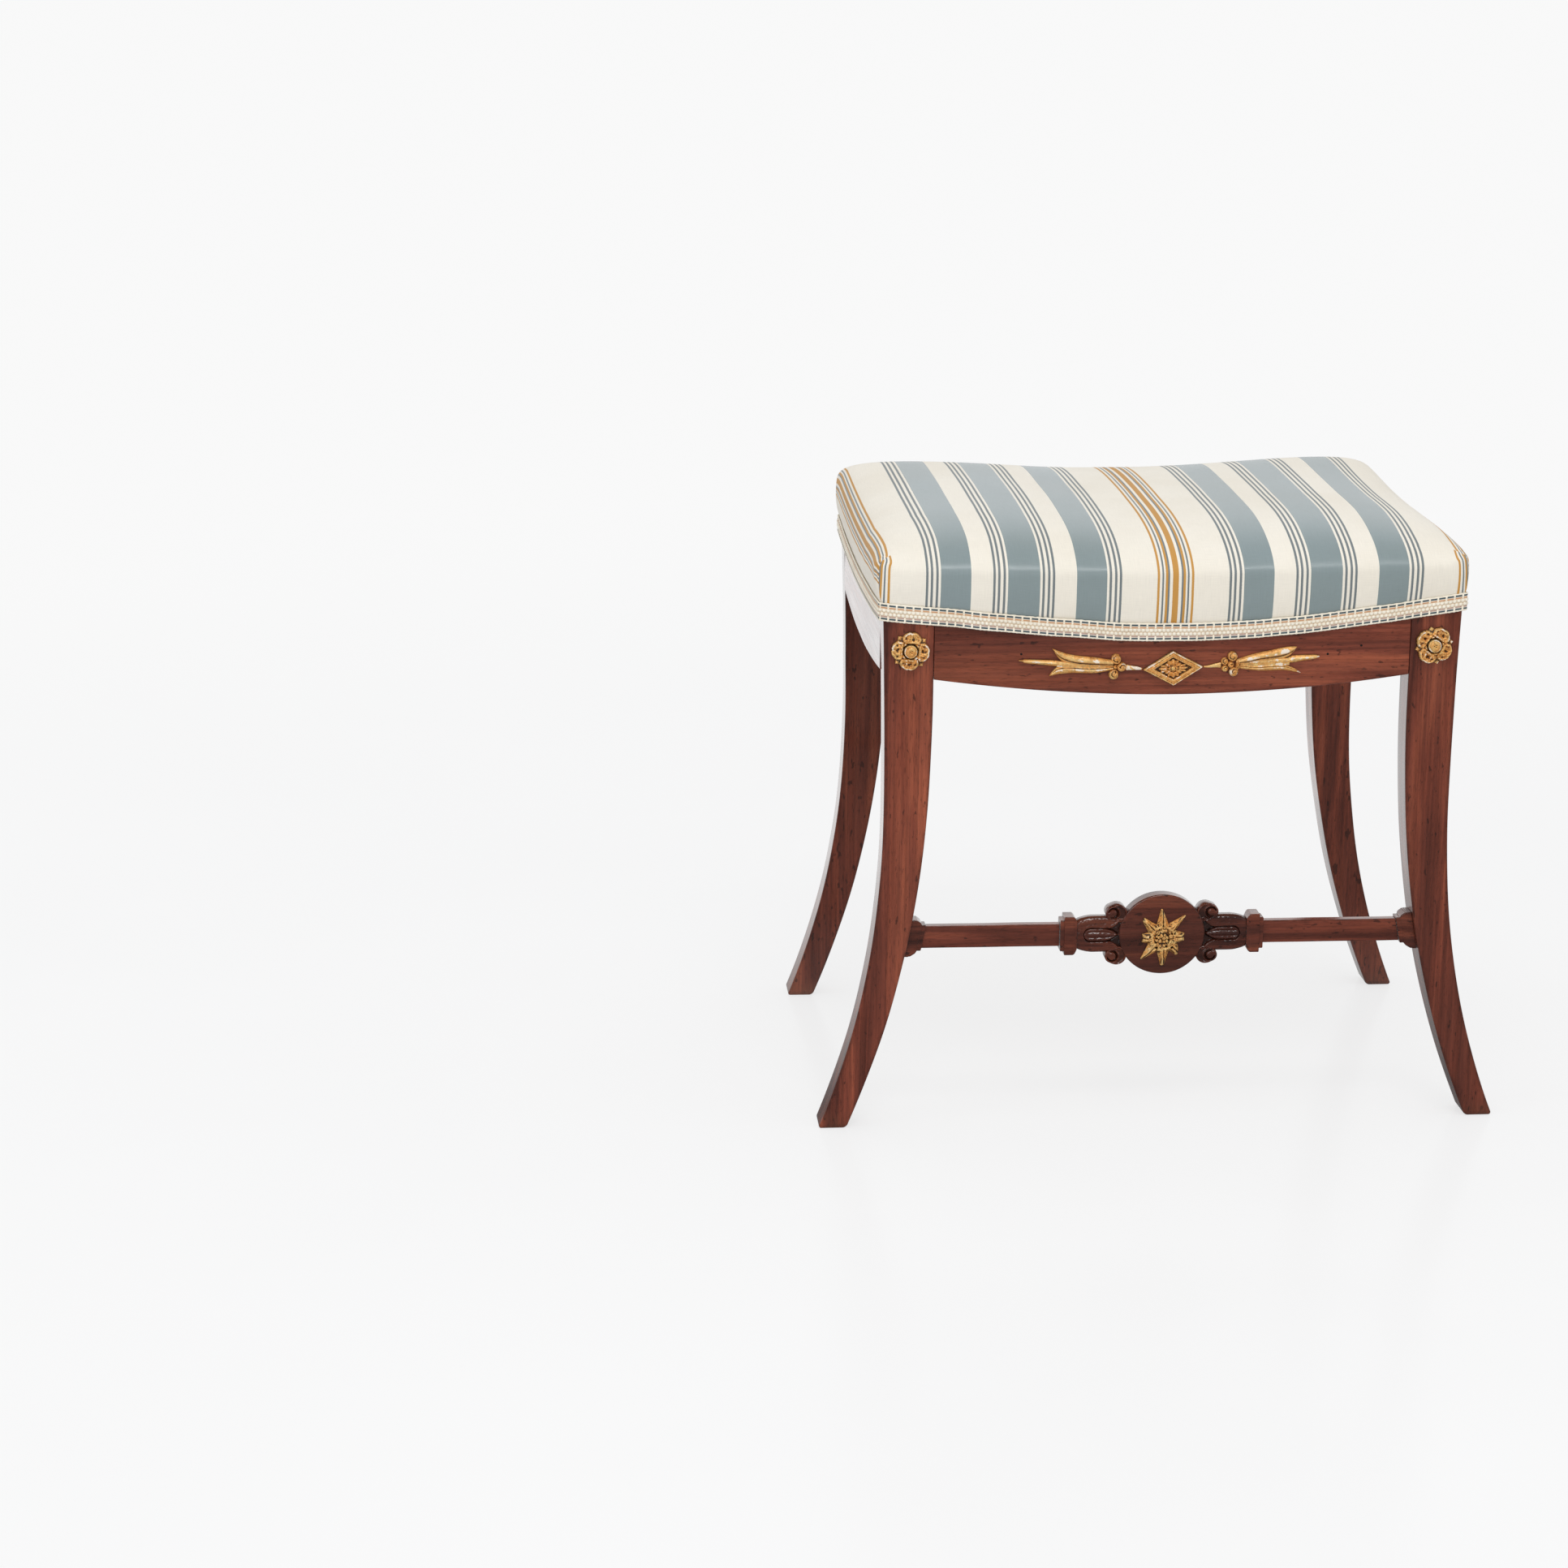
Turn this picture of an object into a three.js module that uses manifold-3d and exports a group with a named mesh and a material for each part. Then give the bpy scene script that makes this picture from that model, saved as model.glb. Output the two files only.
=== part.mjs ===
// A stool with four sabre legs, bowed rails, a stuffed seat and one carved stretcher at the front.
// Millimetres, +Z up. The origin is on the floor under the middle of the stool; the front faces -Y.

import * as THREE from "three";
import { mergeVertices } from "three/addons/utils/BufferGeometryUtils.js";
import Module from "manifold-3d";

const wasm = await Module();
wasm.setup();

// Driving dimensions of the frame
const footSpread = 540; // across the outer corners of the feet
const frameDepth = 361; // front face of the front legs to back face of the rear legs
const cornerHalfWidth = 224; // middle of the stool to a leg's outer edge at the top
const cornerHeight = 426.5; // top of the frame at its four corners
const frontBow = 20; // how far the top of the front and rear rails dips in the middle
const sideBow = 9; // the same for the side rails
const gap = 0.3; // clearance between neighbouring pieces
const overrun = 4; // how far a cutter or a joined block passes the face that it meets

// Legs, sawn from a board and curved in the plane of the front
const legThickness = 26;
const footWidth = 22.3;
const footRound = 3;
const waistInset = 3; // how far the outer edge steps in below the top, at the waist
const waistHeight = 275;
const legTopWidth = 40; // to the leg's inner edge, where the rail meets it
const outerSweepPower = 2.3;
const innerSweepPower = 2.45;
const legSteps = 14;

// Rails
const railThickness = 22;
const railEndHeight = 64.7; // height of the front and rear rails where they meet the legs
const railBelly = 13.6; // how far their lower edge bows down in the middle
const sideRailThickness = 22;
const sideRailSetback = 1.4; // behind the leg's widest point
const sideRailEndHeight = 62;
const sideRailBelly = 9.2;
const railSteps = 16;

// Tenons of the rails
const tenonThickness = 9;
const tenonHeight = 32;
const tenonShoulder = 8; // from the rail's lower corner up to the tenon
const railTenonLength = 15;
const sideTenonLength = 16;

// Corner blocks and their screws
const blockReach = 56; // along each rail, from the leg
const blockEndThickness = 9;
const blockRise = 9.2; // above the rail's lower corner
const blockHeight = 26;
const screwWall = 8; // wood left under a screw's head
const screwInset = 15; // from the block's end to the screw
const screwShankRadius = 2;
const screwHeadRadius = 3.8;
const screwHeadHeight = 2.4;
const screwBite = 12; // depth in the rail
const screwPointLength = 3;
const screwSides = 10;

// Stretcher between the front legs
const stretcherHeight = 153.3;
const roundelHalfWidth = 34;
const roundelHalfHeight = 32.4;
const roundelThickness = 12.6;
const roundelSides = 48;
const capitalLength = 32.8; // from the roundel's widest point to the collar
const capitalThickness = 12;
const capitalNeckHalf = 10.6;
const capitalBellHalf = 14.2;
const voluteHalfWidth = 7.8;
const voluteHalfHeight = 6.3;
const voluteOffset = 36.5; // from the roundel's middle along the stretcher
const voluteRise = 17.6; // above and below the stretcher's axis
const voluteThickness = 12.6;
const voluteSides = 20;
const collarLength = 13.2;
const collarHalfHeight = 15.6;
const collarHalfThickness = 7.6;
const barHeight = 18;
const barThickness = 7.2;
const endBlockLength = 12.6;
const endBlockHalfHeight = 14.9;
const endBlockHalfThickness = 7.4;
const stretcherTenonHeight = 11;
const stretcherTenonThickness = 4.4;
const stretcherTenonBite = 12; // depth in the leg
const capitalTenonBite = 8; // depth in the roundel, and of the bar in the capital

// Gilded ornaments, each pinned to the wood behind it
const pinRadius = 1.5;
const pinLength = 8;
const pinRoot = 0.9; // how far a pin starts inside its ornament
const pinSides = 8;
const rosetteSetback = 21.6; // from the leg's outer edge to the rosette's middle
const rosetteDrop = 41.5; // from the leg's top to the rosette's middle
const rosetteRadius = 15.4;
const rosetteProud = 7.2;
const rosettePetals = 4;
const rosetteSteps = 32;
const diamondRise = 21; // above the rail's lower edge
const diamondHalfWidth = 24;
const diamondHalfHeight = 14;
const diamondBorder = 3.4;
const diamondProud = 4.2;
const diamondPlate = 1.8;
const flowerRadius = 6.2;
const flowerProud = 3.6;
const flowerSteps = 16;
const flowerNotchShare = 0.72;
const flowerTopShare = 0.6;
const spearLength = 92; // from the diamond's tip to the end of the spike
const spearHalfHeight = 10.4;
const spearThickness = 3;
const spearTilt = 0.088; // radians, the outer end higher
const knotRadius = 4.3;
const knotProud = 5.6;
const knotSides = 8;
const starRadius = 23.5;
const starValleyRadius = 9.6;
const starBossRadius = 9.2;
const starRim = 1.2;
const starRidge = 3;
const starBossProud = 7;
const starDrop = 2; // the star sits a little below the roundel's middle

// Webbing and hessian
const webWidth = 50;
const webThickness = 1.6;
const webRest = 16; // how far a strip lies on a rail
const crossMargin = 15.6; // from a side rail to the nearest cross strip
const crossCount = 5;
const longMargin = 34.5; // from a leg's inner face to the nearest long strip
const longCount = 3;
const hessianThickness = 1;

// Gimp, the woven braid that hides the cover's tacked edge
const gimpWidth = 14;
const gimpThickness = 2.2;
const gimpDrop = 16; // from the top of the frame down to the gimp's lower edge

// Seat cover and stuffing
const coverThickness = 1.4;
const coverBulge = 5; // how far the cover's crest stands out past the legs
const hemLift = 3; // the cover's tacked hem above the gimp's lower edge
const hemRadius = 0.9;
const crestRadius = 22; // plan radius of the seat's corners
const crestRise = 26.5; // from the top of the frame up to the crest, at the corners
const crestFrontBow = 10;
const crestSideBow = 4;
const crownLift = 22.5; // from the crest at the corners up to the middle of the seat
const dishRise = 4.5; // how much higher the seat is towards its left and right ends
const dishShare = 0.78; // where that rise ends, as a share of the half width
const backRise = 2; // how much higher the crown is at the back than at the middle
const softEdgeShare = 0.66;
const edgeReachShare = 0.11;
const crownShares = [0.015, 0.045, 0.09, 0.15, 0.24, 0.38, 0.6];
const seatStepsAcross = 10;
const seatStepsDeep = 7;
const seatCornerSteps = 4;

const halfDepth = frameDepth / 2;
const waistHalfWidth = cornerHalfWidth - waistInset;
const shoulderHalfWidth = cornerHalfWidth - legTopWidth;
const shoulderHeight = cornerHeight - railEndHeight; // where the leg's inner curve starts
const sideShoulderHeight = cornerHeight - sideRailEndHeight;
const railMiddleHeight = shoulderHeight - railBelly;
const sideRailMiddleHeight = sideShoulderHeight - sideRailBelly;
const blockBottom = shoulderHeight + blockRise;
const rosetteOffset = cornerHalfWidth - rosetteSetback;
const rosetteHeight = cornerHeight - rosetteDrop;
const diamondHeight = railMiddleHeight + diamondRise;
const crestCornerHeight = cornerHeight + crestRise;
const crownHeight = crestCornerHeight + crownLift;
const sideRailFace = cornerHalfWidth - sideRailSetback;
const innerHalfWidth = sideRailFace - sideRailThickness;
const innerHalfDepth = halfDepth - railThickness;
const legHalfDepth = halfDepth - legThickness; // to a leg's inner face
const legMiddle = halfDepth - legThickness / 2; // from the middle of the stool to a leg's middle
const railMiddle = halfDepth - railThickness / 2;
const sideRailMiddle = sideRailFace - sideRailThickness / 2;
const sideRailHalfLength = legHalfDepth - gap;
const screwHeight = blockBottom + blockHeight / 2;
const blockScrewAlongRail = shoulderHalfWidth - blockReach + screwInset;
const blockScrewAlongSide = legHalfDepth - blockReach + screwInset;

// Material colours
const mahogany = { color: 0x6a3021, roughness: 0.32, metalness: 0 };
const secondaryWood = { color: 0xb08a5c, roughness: 0.75, metalness: 0 };
const gilt = { color: 0xb98a3e, roughness: 0.42, metalness: 0.7 };
const satin = { color: 0xe9e3d2, roughness: 0.6, metalness: 0 };
const braid = { color: 0xd9ceb6, roughness: 0.85, metalness: 0 };
const jute = { color: 0xa58455, roughness: 0.9, metalness: 0 };
const hair = { color: 0x5b4a3a, roughness: 0.95, metalness: 0 };
const steel = { color: 0x77736c, roughness: 0.5, metalness: 0.9 };

const sideNames = { "-1": "left", "1": "right" };
const endNames = { "-1": "front", "1": "rear" };

// Basic solids

function toSolid(geometry) {
  const bare = geometry.clone();
  bare.deleteAttribute("normal");
  bare.deleteAttribute("uv");
  const merged = mergeVertices(bare);
  return new wasm.Manifold(new wasm.Mesh({
    numProp: 3,
    vertProperties: new Float32Array(merged.attributes.position.array),
    triVerts: new Uint32Array(merged.index.array),
  }));
}

function toGeometry(solid) {
  const mesh = solid.getMesh();
  const geometry = new THREE.BufferGeometry();
  geometry.setAttribute("position", new THREE.BufferAttribute(mesh.vertProperties, 3));
  geometry.setIndex(new THREE.BufferAttribute(mesh.triVerts, 1));
  geometry.computeVertexNormals();
  return geometry;
}

function fromTriangles(points, triangles) {
  const geometry = new THREE.BufferGeometry();
  geometry.setAttribute("position", new THREE.Float32BufferAttribute(points.flat(), 3));
  geometry.setIndex(triangles.flat());
  geometry.computeVertexNormals();
  return geometry;
}

// A box between two corners.
function box(low, high) {
  const size = high.map((value, axis) => value - low[axis]);
  const geometry = new THREE.BoxGeometry(...size);
  geometry.translate(...low.map((value, axis) => value + size[axis] / 2));
  return toSolid(geometry);
}

// An outline of [x, z] points, anticlockwise seen from the front, made solid from yLow to yHigh.
function prismAlongY(outline, yLow, yHigh) {
  const shape = new THREE.Shape(outline.map(([x, z]) => new THREE.Vector2(x, z)));
  const geometry = new THREE.ExtrudeGeometry(shape, { depth: yHigh - yLow, bevelEnabled: false });
  geometry.rotateX(Math.PI / 2);
  geometry.translate(0, yHigh, 0);
  return toSolid(geometry);
}

// The same for an outline of [y, z] points between two values of x.
function prismAlongX(outline, xLow, xHigh) {
  const shape = new THREE.Shape(outline.map(([y, z]) => new THREE.Vector2(y, z)));
  const geometry = new THREE.ExtrudeGeometry(shape, { depth: xHigh - xLow, bevelEnabled: false });
  const turn = new THREE.Matrix4().makeBasis(
    new THREE.Vector3(0, 1, 0),
    new THREE.Vector3(0, 0, 1),
    new THREE.Vector3(1, 0, 0),
  );
  geometry.applyMatrix4(turn);
  geometry.translate(xLow, 0, 0);
  return toSolid(geometry);
}

function prismAlongZ(outline, zLow, zHigh) {
  const shape = new THREE.Shape(outline.map(([x, y]) => new THREE.Vector2(x, y)));
  const geometry = new THREE.ExtrudeGeometry(shape, { depth: zHigh - zLow, bevelEnabled: false });
  geometry.translate(0, 0, zLow);
  return toSolid(geometry);
}

// A round rod along Y from the front point, with an optional squash of its height.
function rodAlongY(radius, yLow, yHigh, sides, x = 0, z = 0, heightScale = 1) {
  const geometry = new THREE.CylinderGeometry(radius, radius, yHigh - yLow, sides);
  geometry.scale(1, 1, heightScale);
  geometry.translate(x, (yLow + yHigh) / 2, z);
  return toSolid(geometry);
}

// An outline mirrored to the left for side -1, still anticlockwise.
function mirrorOutline(outline, side) {
  if (side > 0) {
    return outline;
  }
  return outline.map(([x, z]) => [-x, z]).reverse();
}

// Loops of equal length joined in order, closed by a point at each end.
function ringSolid(startPoint, rings, endPoint) {
  const count = rings[0].length;
  const points = [startPoint, ...rings.flat(), endPoint];
  const last = points.length - 1;
  const triangles = [];
  for (let k = 0; k < count; k += 1) {
    const next = (k + 1) % count;
    triangles.push([0, 1 + next, 1 + k]);
    for (let ring = 0; ring < rings.length - 1; ring += 1) {
      const low = 1 + ring * count;
      const high = low + count;
      triangles.push([low + k, low + next, high + next], [low + k, high + next, high + k]);
    }
    const top = 1 + (rings.length - 1) * count;
    triangles.push([top + k, top + next, last]);
  }
  return fromTriangles(points, triangles);
}

// Four loops joined into one closed band.
function bandSolid(rings) {
  const count = rings[0].length;
  const triangles = [];
  rings.forEach((_, ring) => {
    const low = ring * count;
    const high = ((ring + 1) % rings.length) * count;
    for (let k = 0; k < count; k += 1) {
      const next = (k + 1) % count;
      triangles.push([low + k, low + next, high + next], [low + k, high + next, high + k]);
    }
  });
  return fromTriangles(rings.flat(), triangles);
}

// A sheet over a grid of x and y lines, between two height functions.
function sheetSolid(xs, ys, zLow, zHigh) {
  const columns = xs.length;
  const layer = columns * ys.length;
  const points = [];
  [zLow, zHigh].forEach((height) => {
    ys.forEach((y) => xs.forEach((x) => points.push([x, y, height(x, y)])));
  });
  const triangles = [];
  const quad = (a, b, c, d) => triangles.push([a, b, c], [a, c, d]);
  for (let row = 0; row < ys.length - 1; row += 1) {
    for (let column = 0; column < columns - 1; column += 1) {
      const a = row * columns + column;
      quad(a, a + columns, a + columns + 1, a + 1);
      quad(a + layer, a + layer + 1, a + layer + columns + 1, a + layer + columns);
    }
  }
  const edge = [];
  for (let column = 0; column < columns; column += 1) {
    edge.push(column);
  }
  for (let row = 1; row < ys.length; row += 1) {
    edge.push(row * columns + columns - 1);
  }
  for (let column = columns - 2; column >= 0; column -= 1) {
    edge.push((ys.length - 1) * columns + column);
  }
  for (let row = ys.length - 2; row > 0; row -= 1) {
    edge.push(row * columns);
  }
  edge.forEach((a, index) => {
    const b = edge[(index + 1) % edge.length];
    quad(a, b, b + layer, a + layer);
  });
  return fromTriangles(points, triangles);
}

// Rectangular sections along the stretcher: [distance, half height, half thickness].
function sectionLoft(stations, side) {
  const ordered = side > 0 ? stations : stations.map(([x, h, w]) => [-x, h, w]).reverse();
  const rings = ordered.map(([x, h, w]) => [[x, -w, -h], [x, w, -h], [x, w, h], [x, -w, h]]);
  const [first] = ordered[0];
  const [final] = ordered[ordered.length - 1];
  return toSolid(ringSolid([first, 0, 0], rings, [final, 0, 0]));
}

// A raised ornament on a flat back at y = 0: rings of [x, z, proud], outermost first.
function reliefSolid(rings, centreProud) {
  const back = rings[0].map(([x, z]) => [x, 0, z]);
  const loops = rings.map((ring) => ring.map(([x, z, proud]) => [x, -proud, z]));
  return ringSolid([0, 0, 0], [back, ...loops], [0, -centreProud, 0]);
}

// A point of such a ring, its angle turning anticlockwise from the top.
function polarPoint(angle, radius, proud) {
  return [-radius * Math.sin(angle), radius * Math.cos(angle), proud];
}

function pinSolid(x = 0, z = 0) {
  return rodAlongY(pinRadius, -pinRoot, pinLength, pinSides, x, z);
}

// The hole for a pin, cut from a front face at the given y.
function pinHole(faceY, x = 0, z = 0) {
  return rodAlongY(pinRadius + gap, faceY - overrun, faceY + pinLength + gap, pinSides, x, z);
}

function addMesh(group, name, geometry, look, x = 0, y = 0, z = 0) {
  const mesh = new THREE.Mesh(geometry, new THREE.MeshStandardMaterial(look));
  mesh.name = name;
  mesh.position.set(x, y, z);
  group.add(mesh);
  return mesh;
}

// Curves of the frame

const bow = (share) => 1 - Math.min(1, Math.abs(share)) ** 2;

function frameTop(x, y) {
  return cornerHeight - frontBow * bow(x / innerHalfWidth) - sideBow * bow(y / legHalfDepth);
}

function legOuterEdge(z) {
  if (z < waistHeight) {
    const share = (waistHeight - z) / waistHeight;
    return waistHalfWidth + (footSpread / 2 - waistHalfWidth) * share ** outerSweepPower;
  }
  const share = (z - waistHeight) / (cornerHeight - waistHeight);
  return waistHalfWidth + (cornerHalfWidth - waistHalfWidth) * share ** 2;
}

function legInnerEdge(z) {
  const share = Math.max(0, (shoulderHeight - z) / shoulderHeight);
  const sweep = footSpread / 2 - footWidth - shoulderHalfWidth;
  return shoulderHalfWidth + sweep * share ** innerSweepPower;
}

function roundCorner(start, corner, end) {
  const curve = new THREE.QuadraticBezierCurve(
    new THREE.Vector2(...start),
    new THREE.Vector2(...corner),
    new THREE.Vector2(...end),
  );
  return curve.getPoints(3).map((point) => [point.x, point.y]);
}

// The right leg's outline in the plane of the front, anticlockwise from the foot.
function legOutline() {
  const innerFoot = legInnerEdge(0);
  const outerFoot = legOuterEdge(0);
  const outerCorner = roundCorner(
    [outerFoot - footRound, 0],
    [outerFoot, 0],
    [legOuterEdge(footRound), footRound],
  );
  const innerCorner = roundCorner(
    [legInnerEdge(footRound), footRound],
    [innerFoot, 0],
    [innerFoot + footRound, 0],
  );
  const outer = [];
  const inner = [];
  for (let step = 1; step <= legSteps; step += 1) {
    const z = footRound + (cornerHeight - footRound) * (step / legSteps);
    outer.push([legOuterEdge(z), z]);
  }
  for (let step = 0; step < legSteps; step += 1) {
    const z = shoulderHeight - (shoulderHeight - footRound) * (step / legSteps);
    inner.push([legInnerEdge(z), z]);
  }
  const between = (shoulderHalfWidth + innerHalfWidth) / 2;
  const top = [innerHalfWidth, between, shoulderHalfWidth].map((x) => [x, frameTop(x, halfDepth)]);
  return [...outerCorner, ...outer, ...top, ...inner, ...innerCorner];
}

// Mortises of a leg, for side 1 or -1 (right or left) and end 1 or -1 (rear or front).
function railMortise(side, end) {
  const middle = end * (railMiddle - legMiddle);
  const near = side * (shoulderHalfWidth - overrun);
  const far = side * (shoulderHalfWidth + railTenonLength + gap);
  const low = shoulderHeight + tenonShoulder;
  return box(
    [Math.min(near, far), middle - tenonThickness / 2 - gap, low - gap],
    [Math.max(near, far), middle + tenonThickness / 2 + gap, low + tenonHeight + gap],
  );
}

function sideRailMortise(side, end) {
  const middle = side * sideRailMiddle;
  const near = -end * (legThickness / 2 + overrun);
  const far = -end * (legThickness / 2 - sideTenonLength - gap);
  const low = sideShoulderHeight + tenonShoulder;
  return box(
    [middle - tenonThickness / 2 - gap, Math.min(near, far), low - gap],
    [middle + tenonThickness / 2 + gap, Math.max(near, far), low + tenonHeight + gap],
  );
}

function stretcherMortise(side) {
  const edge = legInnerEdge(stretcherHeight);
  const near = side * (edge - overrun);
  const far = side * (edge + stretcherTenonBite + gap);
  const halfThickness = stretcherTenonThickness / 2 + gap;
  const halfHeight = stretcherTenonHeight / 2 + gap;
  return box(
    [Math.min(near, far), -halfThickness, stretcherHeight - halfHeight],
    [Math.max(near, far), halfThickness, stretcherHeight + halfHeight],
  );
}

function legSolid(side, end) {
  const outline = mirrorOutline(legOutline(), side);
  let leg = prismAlongY(outline, -legThickness / 2, legThickness / 2);
  leg = leg.subtract(railMortise(side, end)).subtract(sideRailMortise(side, end));
  if (end < 0) {
    leg = leg.subtract(stretcherMortise(side));
    leg = leg.subtract(pinHole(-legThickness / 2, side * rosetteOffset, rosetteHeight));
  }
  return leg;
}

// Front and rear rails, with a tenon at each end and holes for the corner blocks' screws.
function railSolid(end) {
  const halfLength = shoulderHalfWidth - gap;
  const outline = [];
  for (let step = 0; step <= railSteps; step += 1) {
    const x = halfLength * (2 * (step / railSteps) - 1);
    const rise = railBelly * (x / shoulderHalfWidth) ** 2;
    outline.push([x, railMiddleHeight + rise]);
  }
  for (let step = railSteps; step >= 0; step -= 1) {
    const x = halfLength * (2 * (step / railSteps) - 1);
    outline.push([x, frameTop(x, halfDepth)]);
  }
  let rail = prismAlongY(outline, -railThickness / 2, railThickness / 2);
  const low = shoulderHeight + tenonShoulder;
  const reach = shoulderHalfWidth + railTenonLength;
  rail = rail.add(box(
    [-reach, -tenonThickness / 2, low],
    [reach, tenonThickness / 2, low + tenonHeight],
  ));
  for (const side of [-1, 1]) {
    const inner = -end * (railThickness / 2);
    const depth = end * (screwBite + gap);
    const yLow = Math.min(inner - end * overrun, inner + depth);
    const yHigh = Math.max(inner - end * overrun, inner + depth);
    const x = side * blockScrewAlongRail;
    rail = rail.subtract(rodAlongY(screwShankRadius + gap, yLow, yHigh, screwSides, x, screwHeight));
  }
  return rail;
}

function screwHoleAlongX(side, xNear, xFar, radius, y) {
  const hole = new THREE.CylinderGeometry(radius, radius, Math.abs(xFar - xNear), screwSides);
  hole.rotateZ(Math.PI / 2);
  hole.translate(side * (xNear + xFar) / 2, y, screwHeight);
  return toSolid(hole);
}

function sideRailSolid(side) {
  const outline = [];
  const length = sideRailHalfLength;
  for (let step = 0; step <= railSteps; step += 1) {
    const y = length * (2 * (step / railSteps) - 1);
    const rise = sideRailBelly * (y / length) ** 2;
    outline.push([y, sideRailMiddleHeight + rise]);
  }
  for (let step = railSteps; step >= 0; step -= 1) {
    const y = length * (2 * (step / railSteps) - 1);
    outline.push([y, frameTop(innerHalfWidth, y)]);
  }
  let rail = prismAlongX(outline, -sideRailThickness / 2, sideRailThickness / 2);
  const low = sideShoulderHeight + tenonShoulder;
  const reach = legHalfDepth + sideTenonLength;
  rail = rail.add(box(
    [-tenonThickness / 2, -reach, low],
    [tenonThickness / 2, reach, low + tenonHeight],
  ));
  for (const end of [-1, 1]) {
    const near = -sideRailThickness / 2 - overrun;
    const far = -sideRailThickness / 2 + screwBite + gap;
    const radius = screwShankRadius + gap;
    rail = rail.subtract(screwHoleAlongX(side, near, far, radius, end * blockScrewAlongSide));
  }
  return rail;
}

// A block in an inner corner, seen from above in the corner of positive x and y.
function cornerBlockSolid(side, end) {
  const railFace = innerHalfDepth - gap;
  const legFace = legHalfDepth - gap;
  const sideFace = innerHalfWidth - gap;
  const legEdge = shoulderHalfWidth - gap;
  const alongRail = legEdge - blockReach;
  const alongSide = legFace - blockReach;
  const corner = [
    [sideFace, alongSide],
    [sideFace, legFace],
    [legEdge, legFace],
    [legEdge, railFace],
    [alongRail, railFace],
    [alongRail, railFace - blockEndThickness],
    [sideFace - blockEndThickness, alongSide],
  ];
  const turned = corner.map(([x, y]) => [side * x, end * y]);
  const outline = side * end > 0 ? turned : turned.reverse();
  let block = prismAlongZ(outline, blockBottom, blockBottom + blockHeight);
  const holeRadius = screwShankRadius + gap;
  const headRadius = screwHeadRadius + gap;
  const headFace = railFace - screwWall;
  const open = headFace - blockReach;
  const x = side * blockScrewAlongRail;
  const alongY = (radius, near, far) => {
    const yLow = Math.min(end * near, end * far);
    const yHigh = Math.max(end * near, end * far);
    return rodAlongY(radius, yLow, yHigh, screwSides, x, screwHeight);
  };
  block = block.subtract(alongY(holeRadius, headFace - overrun, railFace + overrun));
  block = block.subtract(alongY(headRadius, open, headFace));
  const sideHeadFace = sideFace - screwWall;
  const y = end * blockScrewAlongSide;
  const nearSide = sideHeadFace - overrun;
  block = block.subtract(screwHoleAlongX(side, nearSide, sideFace + overrun, holeRadius, y));
  block = block.subtract(screwHoleAlongX(side, sideHeadFace - blockReach, sideHeadFace, headRadius, y));
  return block;
}

// A screw along +Y with the underside of its head at y = 0.
function screwGeometry() {
  const length = screwWall + gap + screwBite;
  const shankStart = length - screwPointLength;
  const profile = [
    [0, -length],
    [screwShankRadius, -shankStart],
    [screwShankRadius, 0],
    [screwHeadRadius, 0],
    [screwHeadRadius, screwHeadHeight],
    [0, screwHeadHeight],
  ];
  const points = profile.map(([radius, height]) => new THREE.Vector2(radius, height));
  const geometry = new THREE.LatheGeometry(points, screwSides);
  geometry.rotateX(Math.PI);
  return geometry;
}

// The two screws of a corner block, one into each rail.
function addBlockScrews(group, side, end) {
  const corner = `${endNames[end]}_${sideNames[side]}`;
  const intoRail = screwGeometry();
  intoRail.rotateZ(end > 0 ? 0 : Math.PI);
  const railHead = innerHalfDepth - screwWall - 2 * gap;
  const railPlace = [side * blockScrewAlongRail, end * railHead, screwHeight];
  addMesh(group, `${corner}_rail_screw`, intoRail, steel, ...railPlace);
  const intoSide = screwGeometry();
  intoSide.rotateZ(-side * (Math.PI / 2));
  const sideHead = innerHalfWidth - screwWall - 2 * gap;
  const sidePlace = [side * sideHead, end * blockScrewAlongSide, screwHeight];
  addMesh(group, `${corner}_side_screw`, intoSide, steel, ...sidePlace);
}

// Stretcher pieces, in a frame centred on the roundel with x along the stretcher

const collarStart = roundelHalfWidth + capitalLength + gap;
const barStart = collarStart + collarLength + gap;
const legEdgeAtStretcher = legInnerEdge(stretcherHeight);
const barEnd = legEdgeAtStretcher - endBlockLength - gap;

function stretcherTenon(side, near, far, clearance = 0) {
  const halfThickness = stretcherTenonThickness / 2 + clearance;
  const halfHeight = stretcherTenonHeight / 2 + clearance;
  return box(
    [Math.min(side * near, side * far), -halfThickness, -halfHeight],
    [Math.max(side * near, side * far), halfThickness, halfHeight],
  );
}

function roundelSolid() {
  const scale = roundelHalfHeight / roundelHalfWidth;
  const half = roundelThickness / 2;
  let disc = rodAlongY(roundelHalfWidth, -half, half, roundelSides, 0, 0, scale);
  for (const side of [-1, 1]) {
    const depth = roundelHalfWidth - capitalTenonBite - gap;
    disc = disc.subtract(stretcherTenon(side, depth, roundelHalfWidth + overrun, gap));
  }
  return disc.subtract(pinHole(-half, 0, -starDrop));
}

// The bell of the capital as shares of its length and of its half height.
const bellShares = [[0, 0.79], [0.15, 0.9], [0.38, 0.985], [0.68, 1]];

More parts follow.
